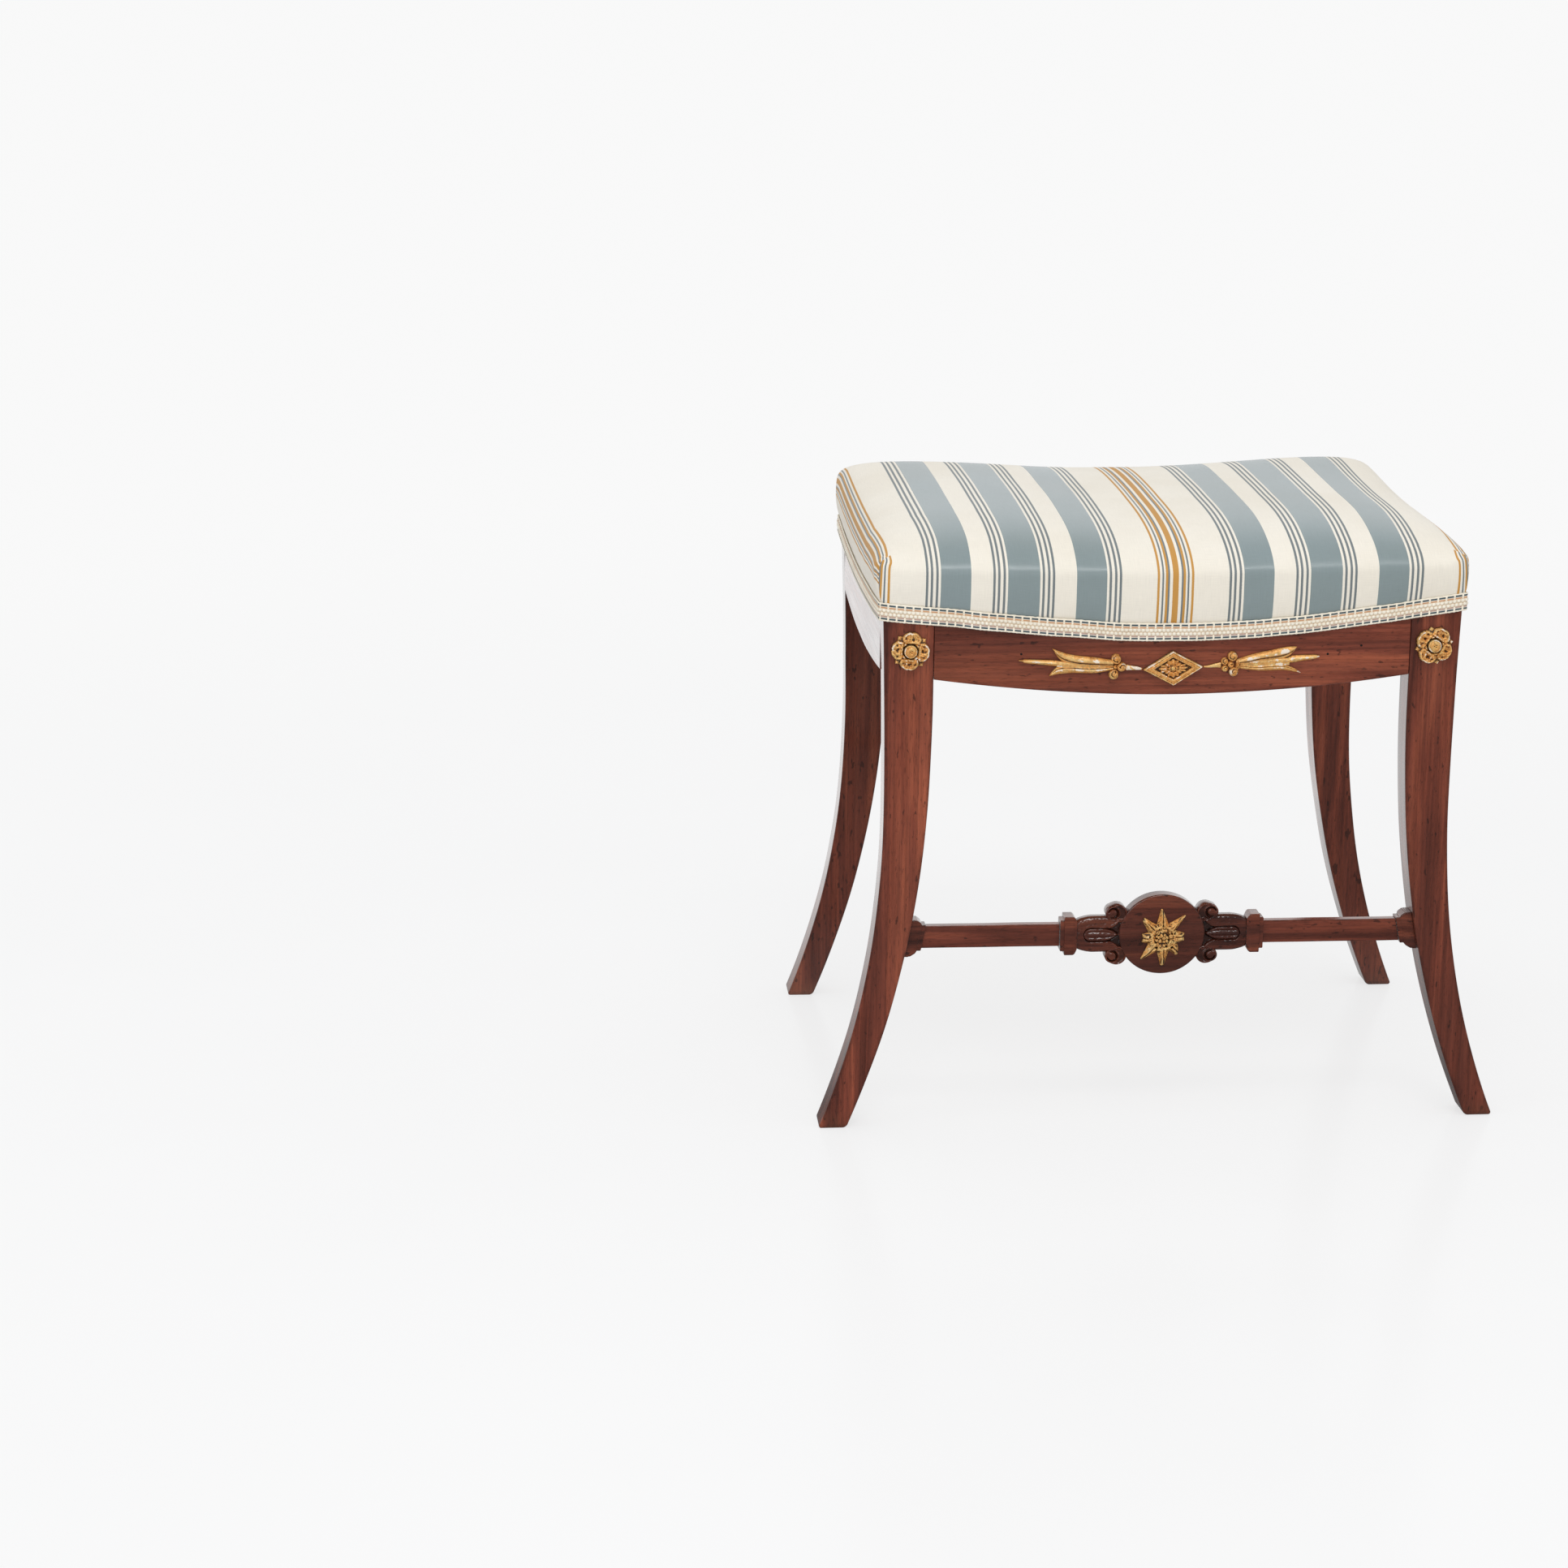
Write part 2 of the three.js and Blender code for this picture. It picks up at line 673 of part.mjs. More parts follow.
function capitalSolid(side) {
  const outerEnd = collarStart - gap;
  const upper = bellShares.map(([along, height]) => [
    outerEnd - along * capitalLength,
    Math.max(height * capitalBellHalf, capitalNeckHalf),
  ]);
  upper.push([voluteOffset, voluteRise], [voluteOffset - voluteHalfWidth, voluteRise]);
  upper.push([roundelHalfWidth / 2, capitalNeckHalf]);
  const lower = upper.map(([x, z]) => [x, -z]).reverse();
  const outline = mirrorOutline([...upper, ...lower], side);
  const half = capitalThickness / 2;
  let capital = prismAlongY(outline, -half, half);
  for (const rise of [-voluteRise, voluteRise]) {
    const thickness = voluteThickness / 2;
    const x = side * voluteOffset;
    const flat = voluteHalfHeight / voluteHalfWidth;
    capital = capital.add(rodAlongY(voluteHalfWidth, -thickness, thickness, voluteSides, x, rise, flat));
  }
  const scale = (roundelHalfHeight + gap) / (roundelHalfWidth + gap);
  const cutter = rodAlongY(
    roundelHalfWidth + gap,
    -roundelThickness,
    roundelThickness,
    roundelSides,
    0,
    0,
    scale,
  );
  capital = capital.subtract(cutter);
  const deep = roundelHalfWidth - capitalTenonBite;
  capital = capital.add(stretcherTenon(side, deep, roundelHalfWidth + overrun));
  return capital.subtract(stretcherTenon(
    side,
    outerEnd - capitalTenonBite - gap,
    outerEnd + overrun,
    gap,
  ));
}

// Mouldings as shares: [length, half height, half thickness].
const collarShares = [
  [0, 0.76, 0.84],
  [0.05, 0.84, 0.89],
  [0.13, 0.93, 0.95],
  [0.26, 1, 1],
  [0.76, 1, 1],
  [0.78, 0.81, 0.86],
  [1, 0.81, 0.86],
];
const endBlockShares = [
  [0, 0.7, 0.8],
  [0.26, 0.7, 0.8],
  [0.28, 0.76, 0.85],
  [0.42, 0.87, 0.93],
  [0.58, 0.96, 0.98],
  [0.78, 1, 1],
  [1, 1, 1],
];

// Leans the part of a solid beyond a distance from the roundel along the leg's edge.
function leanWithLeg(solid, side, start) {
  return solid.warp((point) => {
    if (side * point[0] > start) {
      const lean = legInnerEdge(stretcherHeight + point[2]) - legEdgeAtStretcher;
      point[0] += side * lean;
    }
  });
}

function collarSolid(side) {
  const stations = collarShares.map(([along, height, thickness]) => [
    collarStart + along * collarLength,
    height * collarHalfHeight,
    thickness * collarHalfThickness,
  ]);
  const hole = stretcherTenon(side, collarStart - overrun, barStart + overrun, gap);
  return sectionLoft(stations, side).subtract(hole);
}

// The moulded block leans with the leg, its outer end cut to the leg's curve.
function endBlockSolid(side) {
  const start = barEnd + gap;
  const stations = endBlockShares.map(([along, height, thickness]) => [
    start + along * endBlockLength,
    height * endBlockHalfHeight,
    thickness * endBlockHalfThickness,
  ]);
  const [, height, thickness] = stations[stations.length - 1];
  stations.push([legEdgeAtStretcher + endBlockLength, height, thickness]);
  const reach = endBlockHalfHeight + overrun;
  const curve = [];
  for (let step = 0; step <= legSteps; step += 1) {
    const z = reach * (1 - 2 * (step / legSteps));
    curve.push([legInnerEdge(stretcherHeight + z) - gap, z]);
  }
  const far = legEdgeAtStretcher + 2 * endBlockLength;
  const outline = mirrorOutline([...curve, [far, -reach], [far, reach]], side);
  const legCutter = prismAlongY(outline, -legThickness, legThickness);
  const hole = stretcherTenon(side, barEnd - overrun, far, gap);
  const block = leanWithLeg(sectionLoft(stations, side), side, barStart);
  return block.subtract(legCutter).subtract(hole);
}

function barSolid(side) {
  const low = [Math.min(side * barStart, side * barEnd), -barThickness / 2, -barHeight / 2];
  const high = [Math.max(side * barStart, side * barEnd), barThickness / 2, barHeight / 2];
  const inner = collarStart - gap - capitalTenonBite;
  const outer = legEdgeAtStretcher + stretcherTenonBite;
  const bar = leanWithLeg(box(low, high), side, (barStart + barEnd) / 2);
  return bar.add(stretcherTenon(side, inner, outer));
}

// Gilded ornaments, each on a flat back at y = 0 with its front towards -Y

// Rings of the rosette: share of the radius, share of the height, depth of the lobes.
const rosetteShares = [
  [1, 0.3, 1],
  [0.9, 0.56, 1],
  [0.66, 0.7, 0.7],
  [0.44, 0.5, 0.2],
  [0.34, 0.5, 0],
  [0.26, 0.9, 0],
];
const petalDepthShare = 0.13;

function rosetteSolid() {
  const rings = rosetteShares.map(([radiusShare, proudShare, lobe]) => {
    const ring = [];
    for (let step = 0; step < rosetteSteps; step += 1) {
      const angle = (2 * Math.PI * step) / rosetteSteps;
      const notch = (1 - Math.abs(Math.cos((rosettePetals * angle) / 2))) ** 2;
      const radius = rosetteRadius * radiusShare * (1 - petalDepthShare * lobe * notch);
      const proud = rosetteProud * proudShare * (1 - petalDepthShare * lobe * notch);
      ring.push(polarPoint(angle, radius, proud));
    }
    return ring;
  });
  return toSolid(reliefSolid(rings, rosetteProud)).add(pinSolid());
}

// Rays of the star, anticlockwise from the top, as shares of its radius.
const starShares = [1, 0.88, 0.7, 1, 1, 0.8, 0.75, 1];
const starInnerShares = [[0.95, 0.55], [0.6, 0.85]];

function starSolid() {
  const steps = 2 * starShares.length;
  const place = (index, radius, proud) => polarPoint((2 * Math.PI * index) / steps, radius, proud);
  const indices = Array.from({ length: steps }, (_, index) => index);
  const isRay = (index) => index % 2 === 0;
  const rim = indices.map((index) => {
    const ray = starShares[index / 2] * starRadius;
    return place(index, isRay(index) ? ray : starValleyRadius, starRim);
  });
  const ridge = indices.map((index) => {
    const ray = isRay(index) ? starRidge : starRim;
    return place(index, isRay(index) ? starValleyRadius : starBossRadius, ray);
  });
  const boss = starInnerShares.map(([radius, proud]) => indices.map((index) => (
    place(index, radius * starBossRadius, proud * starBossProud)
  )));
  return toSolid(reliefSolid([rim, ridge, ...boss], starBossProud)).add(pinSolid());
}

// The diamond: a raised border round a sunk plate with a small flower on it.
function diamondSolid() {
  const rhombus = (inset) => {
    const scale = 1 - inset / diamondHalfHeight;
    const halfWidth = diamondHalfWidth * scale;
    const halfHeight = diamondHalfHeight * scale;
    return [[halfWidth, 0], [0, halfHeight], [-halfWidth, 0], [0, -halfHeight]];
  };
  const border = prismAlongY(rhombus(0), -diamondProud, 0);
  const recess = prismAlongY(rhombus(diamondBorder), -diamondProud - overrun, -diamondPlate);
  const ring = (radiusShare, proud) => {
    const points = [];
    for (let step = 0; step < flowerSteps; step += 1) {
      const lobeShare = step % 2 === 0 ? 1 : flowerNotchShare;
      const angle = (2 * Math.PI * step) / flowerSteps;
      points.push(polarPoint(angle, flowerRadius * radiusShare * lobeShare, proud));
    }
    return points;
  };
  const loops = [ring(1, diamondPlate), ring(flowerTopShare, flowerProud)];
  const petals = reliefSolid(loops, diamondProud);
  return border.subtract(recess).add(toSolid(petals)).add(pinSolid());
}

// The right half-spear: stem, knot of four balls, two leaves and a spike. Upper edge of its
// outline as shares of the spear's length and of its half height, from the stem to the spike.
const spearShares = [
  [0, 0.06],
  [0.15, 0.15],
  [0.28, 0.36],
  [0.37, 0.64],
  [0.51, 0.8],
  [0.65, 0.88],
  [0.77, 1],
  [0.73, 0.48],
  [0.67, 0.24],
  [1, 0.14],
];
// Balls of the knot: share of the length, share of the half height, share of the knot's radius.
const knotPlaceShares = [[0.185, 0, 0.84], [0.235, 0.5, 1], [0.235, -0.5, 1], [0.245, 0, 0.9]];
const spearPinShares = [0.24, 0.52];

function spearSolid(side) {
  const upper = spearShares.map(([along, height]) => [along * spearLength, height * spearHalfHeight]);
  const lower = upper.map(([x, z]) => [x, -z]).reverse();
  const outline = mirrorOutline([...upper, ...lower].reverse(), side);
  const shape = new THREE.Shape(outline.map(([x, z]) => new THREE.Vector2(x, z)));
  const geometry = new THREE.ExtrudeGeometry(shape, { depth: spearThickness, bevelEnabled: false });
  geometry.rotateX(Math.PI / 2);
  let spear = toSolid(geometry);
  for (const [along, height, radiusShare] of knotPlaceShares) {
    const radius = knotRadius * radiusShare;
    const ball = new THREE.SphereGeometry(radius, knotSides, knotSides);
    ball.scale(1, knotProud / knotRadius, 1);
    ball.translate(side * along * spearLength, 0, height * spearHalfHeight);
    spear = spear.add(toSolid(ball));
  }
  const behind = box(
    [-2 * spearLength, 0, -2 * spearHalfHeight],
    [2 * spearLength, 2 * knotProud, 2 * spearHalfHeight],
  );
  spear = spear.subtract(behind);
  for (const share of spearPinShares) {
    spear = spear.add(pinSolid(side * share * spearLength));
  }
  return spear;
}

// Where the half-spears and their pins sit on the front rail.
const spearStart = diamondHalfWidth + gap;

function spearPoint(side, share) {
  const along = share * spearLength;
  return [
    side * (spearStart + along * Math.cos(spearTilt)),
    diamondHeight + along * Math.sin(spearTilt),
  ];
}

// Webbing, hessian, stuffing, cover and gimp

// Middles of the strips, evenly spaced between two rails.
function stripCentres(count, halfSpan, margin) {
  const reach = halfSpan - margin - webWidth / 2;
  return Array.from({ length: count }, (_, index) => (2 * (index / (count - 1)) - 1) * reach);
}

const crossCentres = stripCentres(crossCount, innerHalfWidth, crossMargin);
const longCentres = stripCentres(longCount, legHalfDepth, longMargin);
const stripEdges = (centres) => centres.flatMap((centre) => [centre - webWidth / 2, centre + webWidth / 2]);
const webEndX = innerHalfWidth + webRest;
const webEndY = legHalfDepth + webRest;
const webLinesX = [-webEndX, -innerHalfWidth, ...stripEdges(crossCentres), innerHalfWidth, webEndX];
const webLinesY = [-webEndY, -legHalfDepth, ...stripEdges(longCentres), legHalfDepth, webEndY];

// 1 where a strip passes over its neighbour, 0 where it passes under or lies on a rail.
function weaveLevel(position, centres, ownIndex, startsOver) {
  const crossing = centres.findIndex((centre) => Math.abs(position - centre) <= webWidth / 2 + gap);
  if (crossing < 0) {
    return 0;
  }
  return (crossing + ownIndex + startsOver) % 2;
}

function crossStrip(index) {
  const xs = [crossCentres[index] - webWidth / 2, crossCentres[index] + webWidth / 2];
  const lift = (y) => gap + weaveLevel(y, longCentres, index, 0) * (webThickness + gap);
  const low = (x, y) => frameTop(x, y) + lift(y);
  return sheetSolid(xs, webLinesY, low, (x, y) => low(x, y) + webThickness);
}

function longStrip(index) {
  const ys = [longCentres[index] - webWidth / 2, longCentres[index] + webWidth / 2];
  const lift = (x) => gap + weaveLevel(x, crossCentres, index, 1) * (webThickness + gap);
  const low = (x, y) => frameTop(x, y) + lift(x);
  return sheetSolid(webLinesX, ys, low, (x, y) => low(x, y) + webThickness);
}

const hessianLift = 2 * (webThickness + gap) + gap;

function hessianSheet() {
  const low = (x, y) => frameTop(x, y) + hessianLift;
  return sheetSolid(webLinesX, webLinesY, low, (x, y) => low(x, y) + hessianThickness);
}

// A rounded rectangle seen from above, anticlockwise from the middle of the right side.
function planRing(halfX, halfY, radius) {
  const points = [];
  const straight = (from, to, steps) => {
    for (let step = 0; step < steps; step += 1) {
      const share = step / steps;
      points.push([from[0] + (to[0] - from[0]) * share, from[1] + (to[1] - from[1]) * share]);
    }
  };
  const x = halfX - radius;
  const y = halfY - radius;
  const turn = (cx, cy, quarter) => {
    for (let step = 0; step < seatCornerSteps; step += 1) {
      const angle = (Math.PI / 2) * (quarter + step / seatCornerSteps);
      points.push([cx + radius * Math.cos(angle), cy + radius * Math.sin(angle)]);
    }
  };
  straight([halfX, -y], [halfX, y], seatStepsDeep);
  turn(x, y, 0);
  straight([x, halfY], [-x, halfY], seatStepsAcross);
  turn(-x, y, 1);
  straight([-halfX, y], [-halfX, -y], seatStepsDeep);
  turn(-x, -y, 2);
  straight([-x, -halfY], [x, -halfY], seatStepsAcross);
  turn(x, -y, 3);
  return points;
}

function bowedHeight(corner, front, side) {
  return (x, y) => corner - front * bow(x / cornerHalfWidth) - side * bow(y / halfDepth);
}

const gimpBottom = bowedHeight(cornerHeight - gimpDrop, frontBow, sideBow);
const crestHeight = bowedHeight(crestCornerHeight, crestFrontBow, crestSideBow);

function crownTop(x, y) {
  const dish = Math.min(1, Math.abs(x) / (dishShare * cornerHalfWidth));
  const wave = (1 - Math.cos(Math.PI * dish)) / 2;
  return crownHeight + dishRise * wave + backRise * (y / halfDepth);
}

// How far the seat has risen from its crest to its crown: fast at the edge, then slowly.
function crownRise(share, x, y) {
  const edge = 1 - Math.exp(-share / edgeReachShare);
  const dome = bow(x / cornerHalfWidth) * bow(y / halfDepth);
  return softEdgeShare * edge + (1 - softEdgeShare) * dome;
}

// A loop of the seat: plan offset from the legs' outer faces, corner radius, height by place.
function seatRing(offset, radius, height) {
  const ring = planRing(cornerHalfWidth + offset, halfDepth + offset, radius);
  return ring.map(([x, y]) => [x, y, height(x, y)]);
}

function crownRings(offset, sunk) {
  const outer = planRing(cornerHalfWidth + offset, halfDepth + offset, crestRadius);
  return crownShares.map((share) => outer.map(([x, y]) => {
    const crest = crestHeight(x, y);
    const px = x * (1 - share);
    const py = y * (1 - share);
    return [px, py, crest + (crownTop(px, py) - crest) * crownRise(share, px, py) - sunk];
  }));
}

const hemOffset = gap + coverThickness;
const wallRadius = (hemRadius + crestRadius) / 2;
const gimpTop = (x, y) => gimpBottom(x, y) + gimpWidth;
const wallHeight = (x, y) => (gimpTop(x, y) + crestHeight(x, y)) / 2;

// One face of the cover from hem to crown: inward is 0 for the outer face.
function coverRings(inward) {
  const hem = (x, y) => gimpBottom(x, y) + hemLift;
  const crest = (x, y) => crestHeight(x, y) - inward;
  const tight = hemRadius + coverThickness - inward;
  return [
    seatRing(hemOffset - inward, tight, hem),
    seatRing(hemOffset - inward, tight, gimpTop),
    seatRing(coverBulge - gap - inward, wallRadius, wallHeight),
    seatRing(coverBulge - inward, crestRadius, crest),
    ...crownRings(coverBulge - inward, inward),
  ];
}

function coverShell() {
  const inner = coverRings(coverThickness).reverse();
  const outer = coverRings(0);
  const top = crownTop(0, 0);
  return ringSolid([0, 0, top - coverThickness], [...inner, ...outer], [0, 0, top]);
}

// The stuffing fills the cover, its underside cut to lie on the hessian.
function stuffingSolid() {
  const inward = coverThickness + gap;
  const floor = cornerHeight - frontBow - sideBow - overrun;
  const rings = [
    seatRing(0, hemRadius, () => floor),
    seatRing(0, hemRadius, gimpTop),
    seatRing(coverBulge - gap - inward, wallRadius, wallHeight),
    seatRing(coverBulge - inward, crestRadius, (x, y) => crestHeight(x, y) - inward),
    ...crownRings(coverBulge - inward, inward),
  ];
  const block = toSolid(ringSolid([0, 0, floor], rings, [0, 0, crownTop(0, 0) - inward]));
  const farX = cornerHalfWidth + coverBulge + overrun;
  const farY = halfDepth + coverBulge + overrun;
  const linesX = [-farX, ...webLinesX.slice(1, -1), farX];
  const linesY = [-farY, ...webLinesY.slice(1, -1), farY];
  const rest = (x, y) => frameTop(x, y) + hessianLift + hessianThickness + gap;
  return block.subtract(toSolid(sheetSolid(linesX, linesY, () => floor - overrun, rest)));
}

function gimpBand() {
  const inner = hemOffset + gap;
  const outer = inner + gimpThickness;
  const innerRadius = hemRadius + coverThickness + gap;
  const outerRadius = innerRadius + gimpThickness;
  return bandSolid([
    seatRing(inner, innerRadius, gimpBottom),
    seatRing(outer, outerRadius, gimpBottom),
    seatRing(outer, outerRadius, gimpTop),
    seatRing(inner, innerRadius, gimpTop),
  ]);
}

// Assembly

const stool = new THREE.Group();

function addFrame(group) {
  for (const end of [-1, 1]) {
    for (const side of [-1, 1]) {
      const corner = `${endNames[end]}_${sideNames[side]}`;
      addMesh(group, `${corner}_leg`, toGeometry(legSolid(side, end)), mahogany, 0, end * legMiddle);
      const block = toGeometry(cornerBlockSolid(side, end));
      addMesh(group, `${corner}_corner_block`, block, secondaryWood);
      addBlockScrews(group, side, end);
    }
  }
  let frontRail = railSolid(-1);
  frontRail = frontRail.subtract(pinHole(-railThickness / 2, 0, diamondHeight));
  for (const side of [-1, 1]) {
    for (const share of spearPinShares) {
      frontRail = frontRail.subtract(pinHole(-railThickness / 2, ...spearPoint(side, share)));
    }
  }
  addMesh(group, "front_rail", toGeometry(frontRail), mahogany, 0, -railMiddle);
  addMesh(group, "rear_rail", toGeometry(railSolid(1)), mahogany, 0, railMiddle);
  for (const side of [-1, 1]) {
    const rail = toGeometry(sideRailSolid(side));
    addMesh(group, `${sideNames[side]}_side_rail`, rail, mahogany, side * sideRailMiddle);
  }
}

function addStretcher(group) {
  const stretcher = new THREE.Group();
  stretcher.position.set(0, -legMiddle, stretcherHeight);
  group.add(stretcher);
  addMesh(stretcher, "stretcher_roundel", toGeometry(roundelSolid()), mahogany);
  for (const side of [-1, 1]) {
    const name = sideNames[side];
    addMesh(stretcher, `${name}_scroll_capital`, toGeometry(capitalSolid(side)), mahogany);
    addMesh(stretcher, `${name}_stretcher_collar`, toGeometry(collarSolid(side)), mahogany);
    addMesh(stretcher, `${name}_stretcher_bar`, toGeometry(barSolid(side)), mahogany);
    addMesh(stretcher, `${name}_end_block`, toGeometry(endBlockSolid(side)), mahogany);
  }
  const star = toGeometry(starSolid());
  addMesh(stretcher, "star_ornament", star, gilt, 0, -roundelThickness / 2 - gap, -starDrop);
}

function addOrnaments(group) {
  const face = -halfDepth - gap;
  for (const side of [-1, 1]) {
    const name = sideNames[side];
    const rosette = toGeometry(rosetteSolid());
    addMesh(group, `${name}_rosette`, rosette, gilt, side * rosetteOffset, face, rosetteHeight);
    const spear = toGeometry(spearSolid(side));
    const place = [side * spearStart, face, diamondHeight];
    const mesh = addMesh(group, `${name}_spear_ornament`, spear, gilt, ...place);
    mesh.rotation.y = -side * spearTilt;
  }
  addMesh(group, "diamond_ornament", toGeometry(diamondSolid()), gilt, 0, face, diamondHeight);
}

function addSeat(group) {
  crossCentres.forEach((_, index) => {
    addMesh(group, `cross_web_${index + 1}`, crossStrip(index), jute);
  });
  longCentres.forEach((_, index) => {
    addMesh(group, `long_web_${index + 1}`, longStrip(index), jute);
  });
  addMesh(group, "hessian_sheet", hessianSheet(), jute);
  addMesh(group, "seat_stuffing", toGeometry(stuffingSolid()), hair);
  addMesh(group, "seat_cover", coverShell(), satin);
  addMesh(group, "gimp_braid", gimpBand(), braid);
}

addFrame(stool);
addStretcher(stool);
addOrnaments(stool);
addSeat(stool);

// The rosettes stand out further in front than the cover does behind, so the frame sits back a little.
stool.position.y = (rosetteProud + gap - coverBulge) / 2;

export default stool;
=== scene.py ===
"""An upholstered stool with sabre legs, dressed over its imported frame. Sizes are in millimetres."""

import math
import random

import bpy
import numpy as np
from mathutils import Matrix, Vector, noise


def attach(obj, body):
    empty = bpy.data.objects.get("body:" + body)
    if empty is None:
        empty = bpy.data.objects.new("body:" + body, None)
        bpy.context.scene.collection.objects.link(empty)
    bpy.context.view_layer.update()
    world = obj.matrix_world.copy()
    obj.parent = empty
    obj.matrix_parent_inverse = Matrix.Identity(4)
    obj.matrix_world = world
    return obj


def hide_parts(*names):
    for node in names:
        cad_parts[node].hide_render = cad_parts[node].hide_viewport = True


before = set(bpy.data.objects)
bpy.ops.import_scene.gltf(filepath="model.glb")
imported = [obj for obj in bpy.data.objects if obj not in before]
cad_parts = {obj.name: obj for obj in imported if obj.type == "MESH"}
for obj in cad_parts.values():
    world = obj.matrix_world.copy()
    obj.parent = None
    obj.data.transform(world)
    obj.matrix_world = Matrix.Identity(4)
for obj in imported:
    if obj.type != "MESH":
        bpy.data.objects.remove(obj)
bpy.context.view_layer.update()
random.seed(7)
noise.seed_set(7)

MM = 0.001
SHIFT = 1.25  # the frame sits this far back
ENDS = ((-1, "front"), (1, "rear"))
SIDES = ((-1, "left"), (1, "right"))

# sizes of the frame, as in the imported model
FOOT_HALF = 270.0
HALF_DEPTH = 180.5
CORNER_X = 224.0
CORNER_Z = 426.5
FRONT_BOW = 20.0
SIDE_BOW = 9.0
LEG_T = 26.0
LEG_TOP = 420.0
FOOT_W = 22.3
WAIST_X = 221.0
WAIST_Z = 275.0
SHOULDER_X = 184.0
SHOULDER_Z = 361.8
INNER_X = 200.6
INNER_Y = 154.5
RAIL_T = 22.0
LEG_MID_Y = HALF_DEPTH - LEG_T / 2
STRETCH_Z = 153.3
DISC_X, DISC_Z, DISC_HALF = 33.9, 32.3, 6.3
BRAID_W = 14.0


# ---------------------------------------------------------------- shape helpers

def unit(v):
    return min(1.0, max(0.0, v))


def smooth(a, b, x):
    t = unit((x - a) / (b - a))
    return t * t * (3 - 2 * t)


def bell(d, width):
    return math.exp(-(d / width) ** 2)


def bow(share):
    return 1.0 - min(1.0, abs(share)) ** 2


def spin(x, z, turn):
    return x * math.cos(turn) + z * math.sin(turn), z * math.cos(turn) - x * math.sin(turn)


def rough(x, z, seed, size, amount):
    return amount * noise.noise(Vector((x / size, z / size, seed)))


def frame_top(x, y):
    return CORNER_Z - FRONT_BOW * bow(x / INNER_X) - SIDE_BOW * bow(y / INNER_Y)


def circle(count):
    return [2 * math.pi * k / count for k in range(count)]


def numbered(rows, columns, start=0):
    """Point numbers in rows."""
    return (np.arange(rows * columns) + start).reshape(rows, columns).tolist()


def pairs(row, closed=True):
    """Each item of a row with the next one."""
    return list(zip(row, [*row[1:], *row[:1]] if closed else row[1:]))


def strips(rows, closed=True):
    """Quads between each row of point numbers and the next."""
    return [(a, c, d, b) for first, second in zip(rows, rows[1:])
            for (a, b), (c, d) in zip(pairs(first, closed), pairs(second, closed))]


def fan(middle, row):
    return [(middle, a, b) for a, b in pairs(row)]


def turned(faces, wanted=True):
    """The faces seen from the other side."""
    return [tuple(reversed(f)) for f in faces] if wanted else faces


def tube(rows, closed=True):
    """The same quads, facing the other way."""
    return [(f[0], *f[:0:-1]) for f in strips(rows, closed)]


def loft(rings):
    """A closed form through rings of equal length, with flat ends."""
    rows = numbered(len(rings), len(rings[0]))
    return np.concatenate(rings), tube(rows) + [tuple(rows[0][::-1]), tuple(rows[-1])]


def rounded(a0, a1, b0, b1, r, near=2.6, steps=3):
    """A rounded rectangle in two axes, anticlockwise, with extra points near its corners.

    Returns the points and how worn each one is."""
    near = min(near, (a1 - a0) / 3, (b1 - b0) / 3)
    r = min(r, near * 0.8)
    pts, wear = [], []
    for a, b, start in ((a1, b0, -90), (a1, b1, 0), (a0, b1, 90), (a0, b0, 180)):
        ca = a - r if a == a1 else a + r
        cb = b - r if b == b1 else b + r
        for s in range(-1, steps + 2):
            t = math.radians(start + 90 * min(steps, max(0, s)) / steps)
            past = (near - r) * ((s > steps) - (s < 0))
            pts.append((ca + r * math.cos(t) - past * math.sin(t), cb + r * math.sin(t) + past * math.cos(t)))
            wear.append(0.0 if past else 1.0)
    return pts, wear


def waver(verts, amount, size, seed=0.0):
    """Moves points a little, as on work that was shaped by hand."""
    out = np.array(verts, dtype=float)
    for i, p in enumerate(out):
        q = Vector((p[0] / size + seed, p[1] / size, p[2] / size))
        out[i] += np.array(noise.noise_vector(q)) * amount
    return out


def board(sections, flip, *shake):
    """A form through sections, each given by its points and their wear."""
    rings, wear = zip(*sections)
    verts, faces = loft(rings)
    return waver(verts, *shake) if shake else verts, turned(faces, flip), np.concatenate(wear)


def joined(parts):
    """Several closed forms in one mesh: points, faces and every field after them."""
    faces, start = [], 0
    for part in parts:
        faces += [tuple(i + start for i in face) for face in part[1]]
        start += len(part[0])
    verts, _, *fields = zip(*parts)
    return (np.concatenate(verts), faces, *map(np.concatenate, fields))


# ---------------------------------------------------------------- objects

def link(name, data):
    obj = bpy.data.objects.new(name, data)
    bpy.context.scene.collection.objects.link(obj)
    return obj


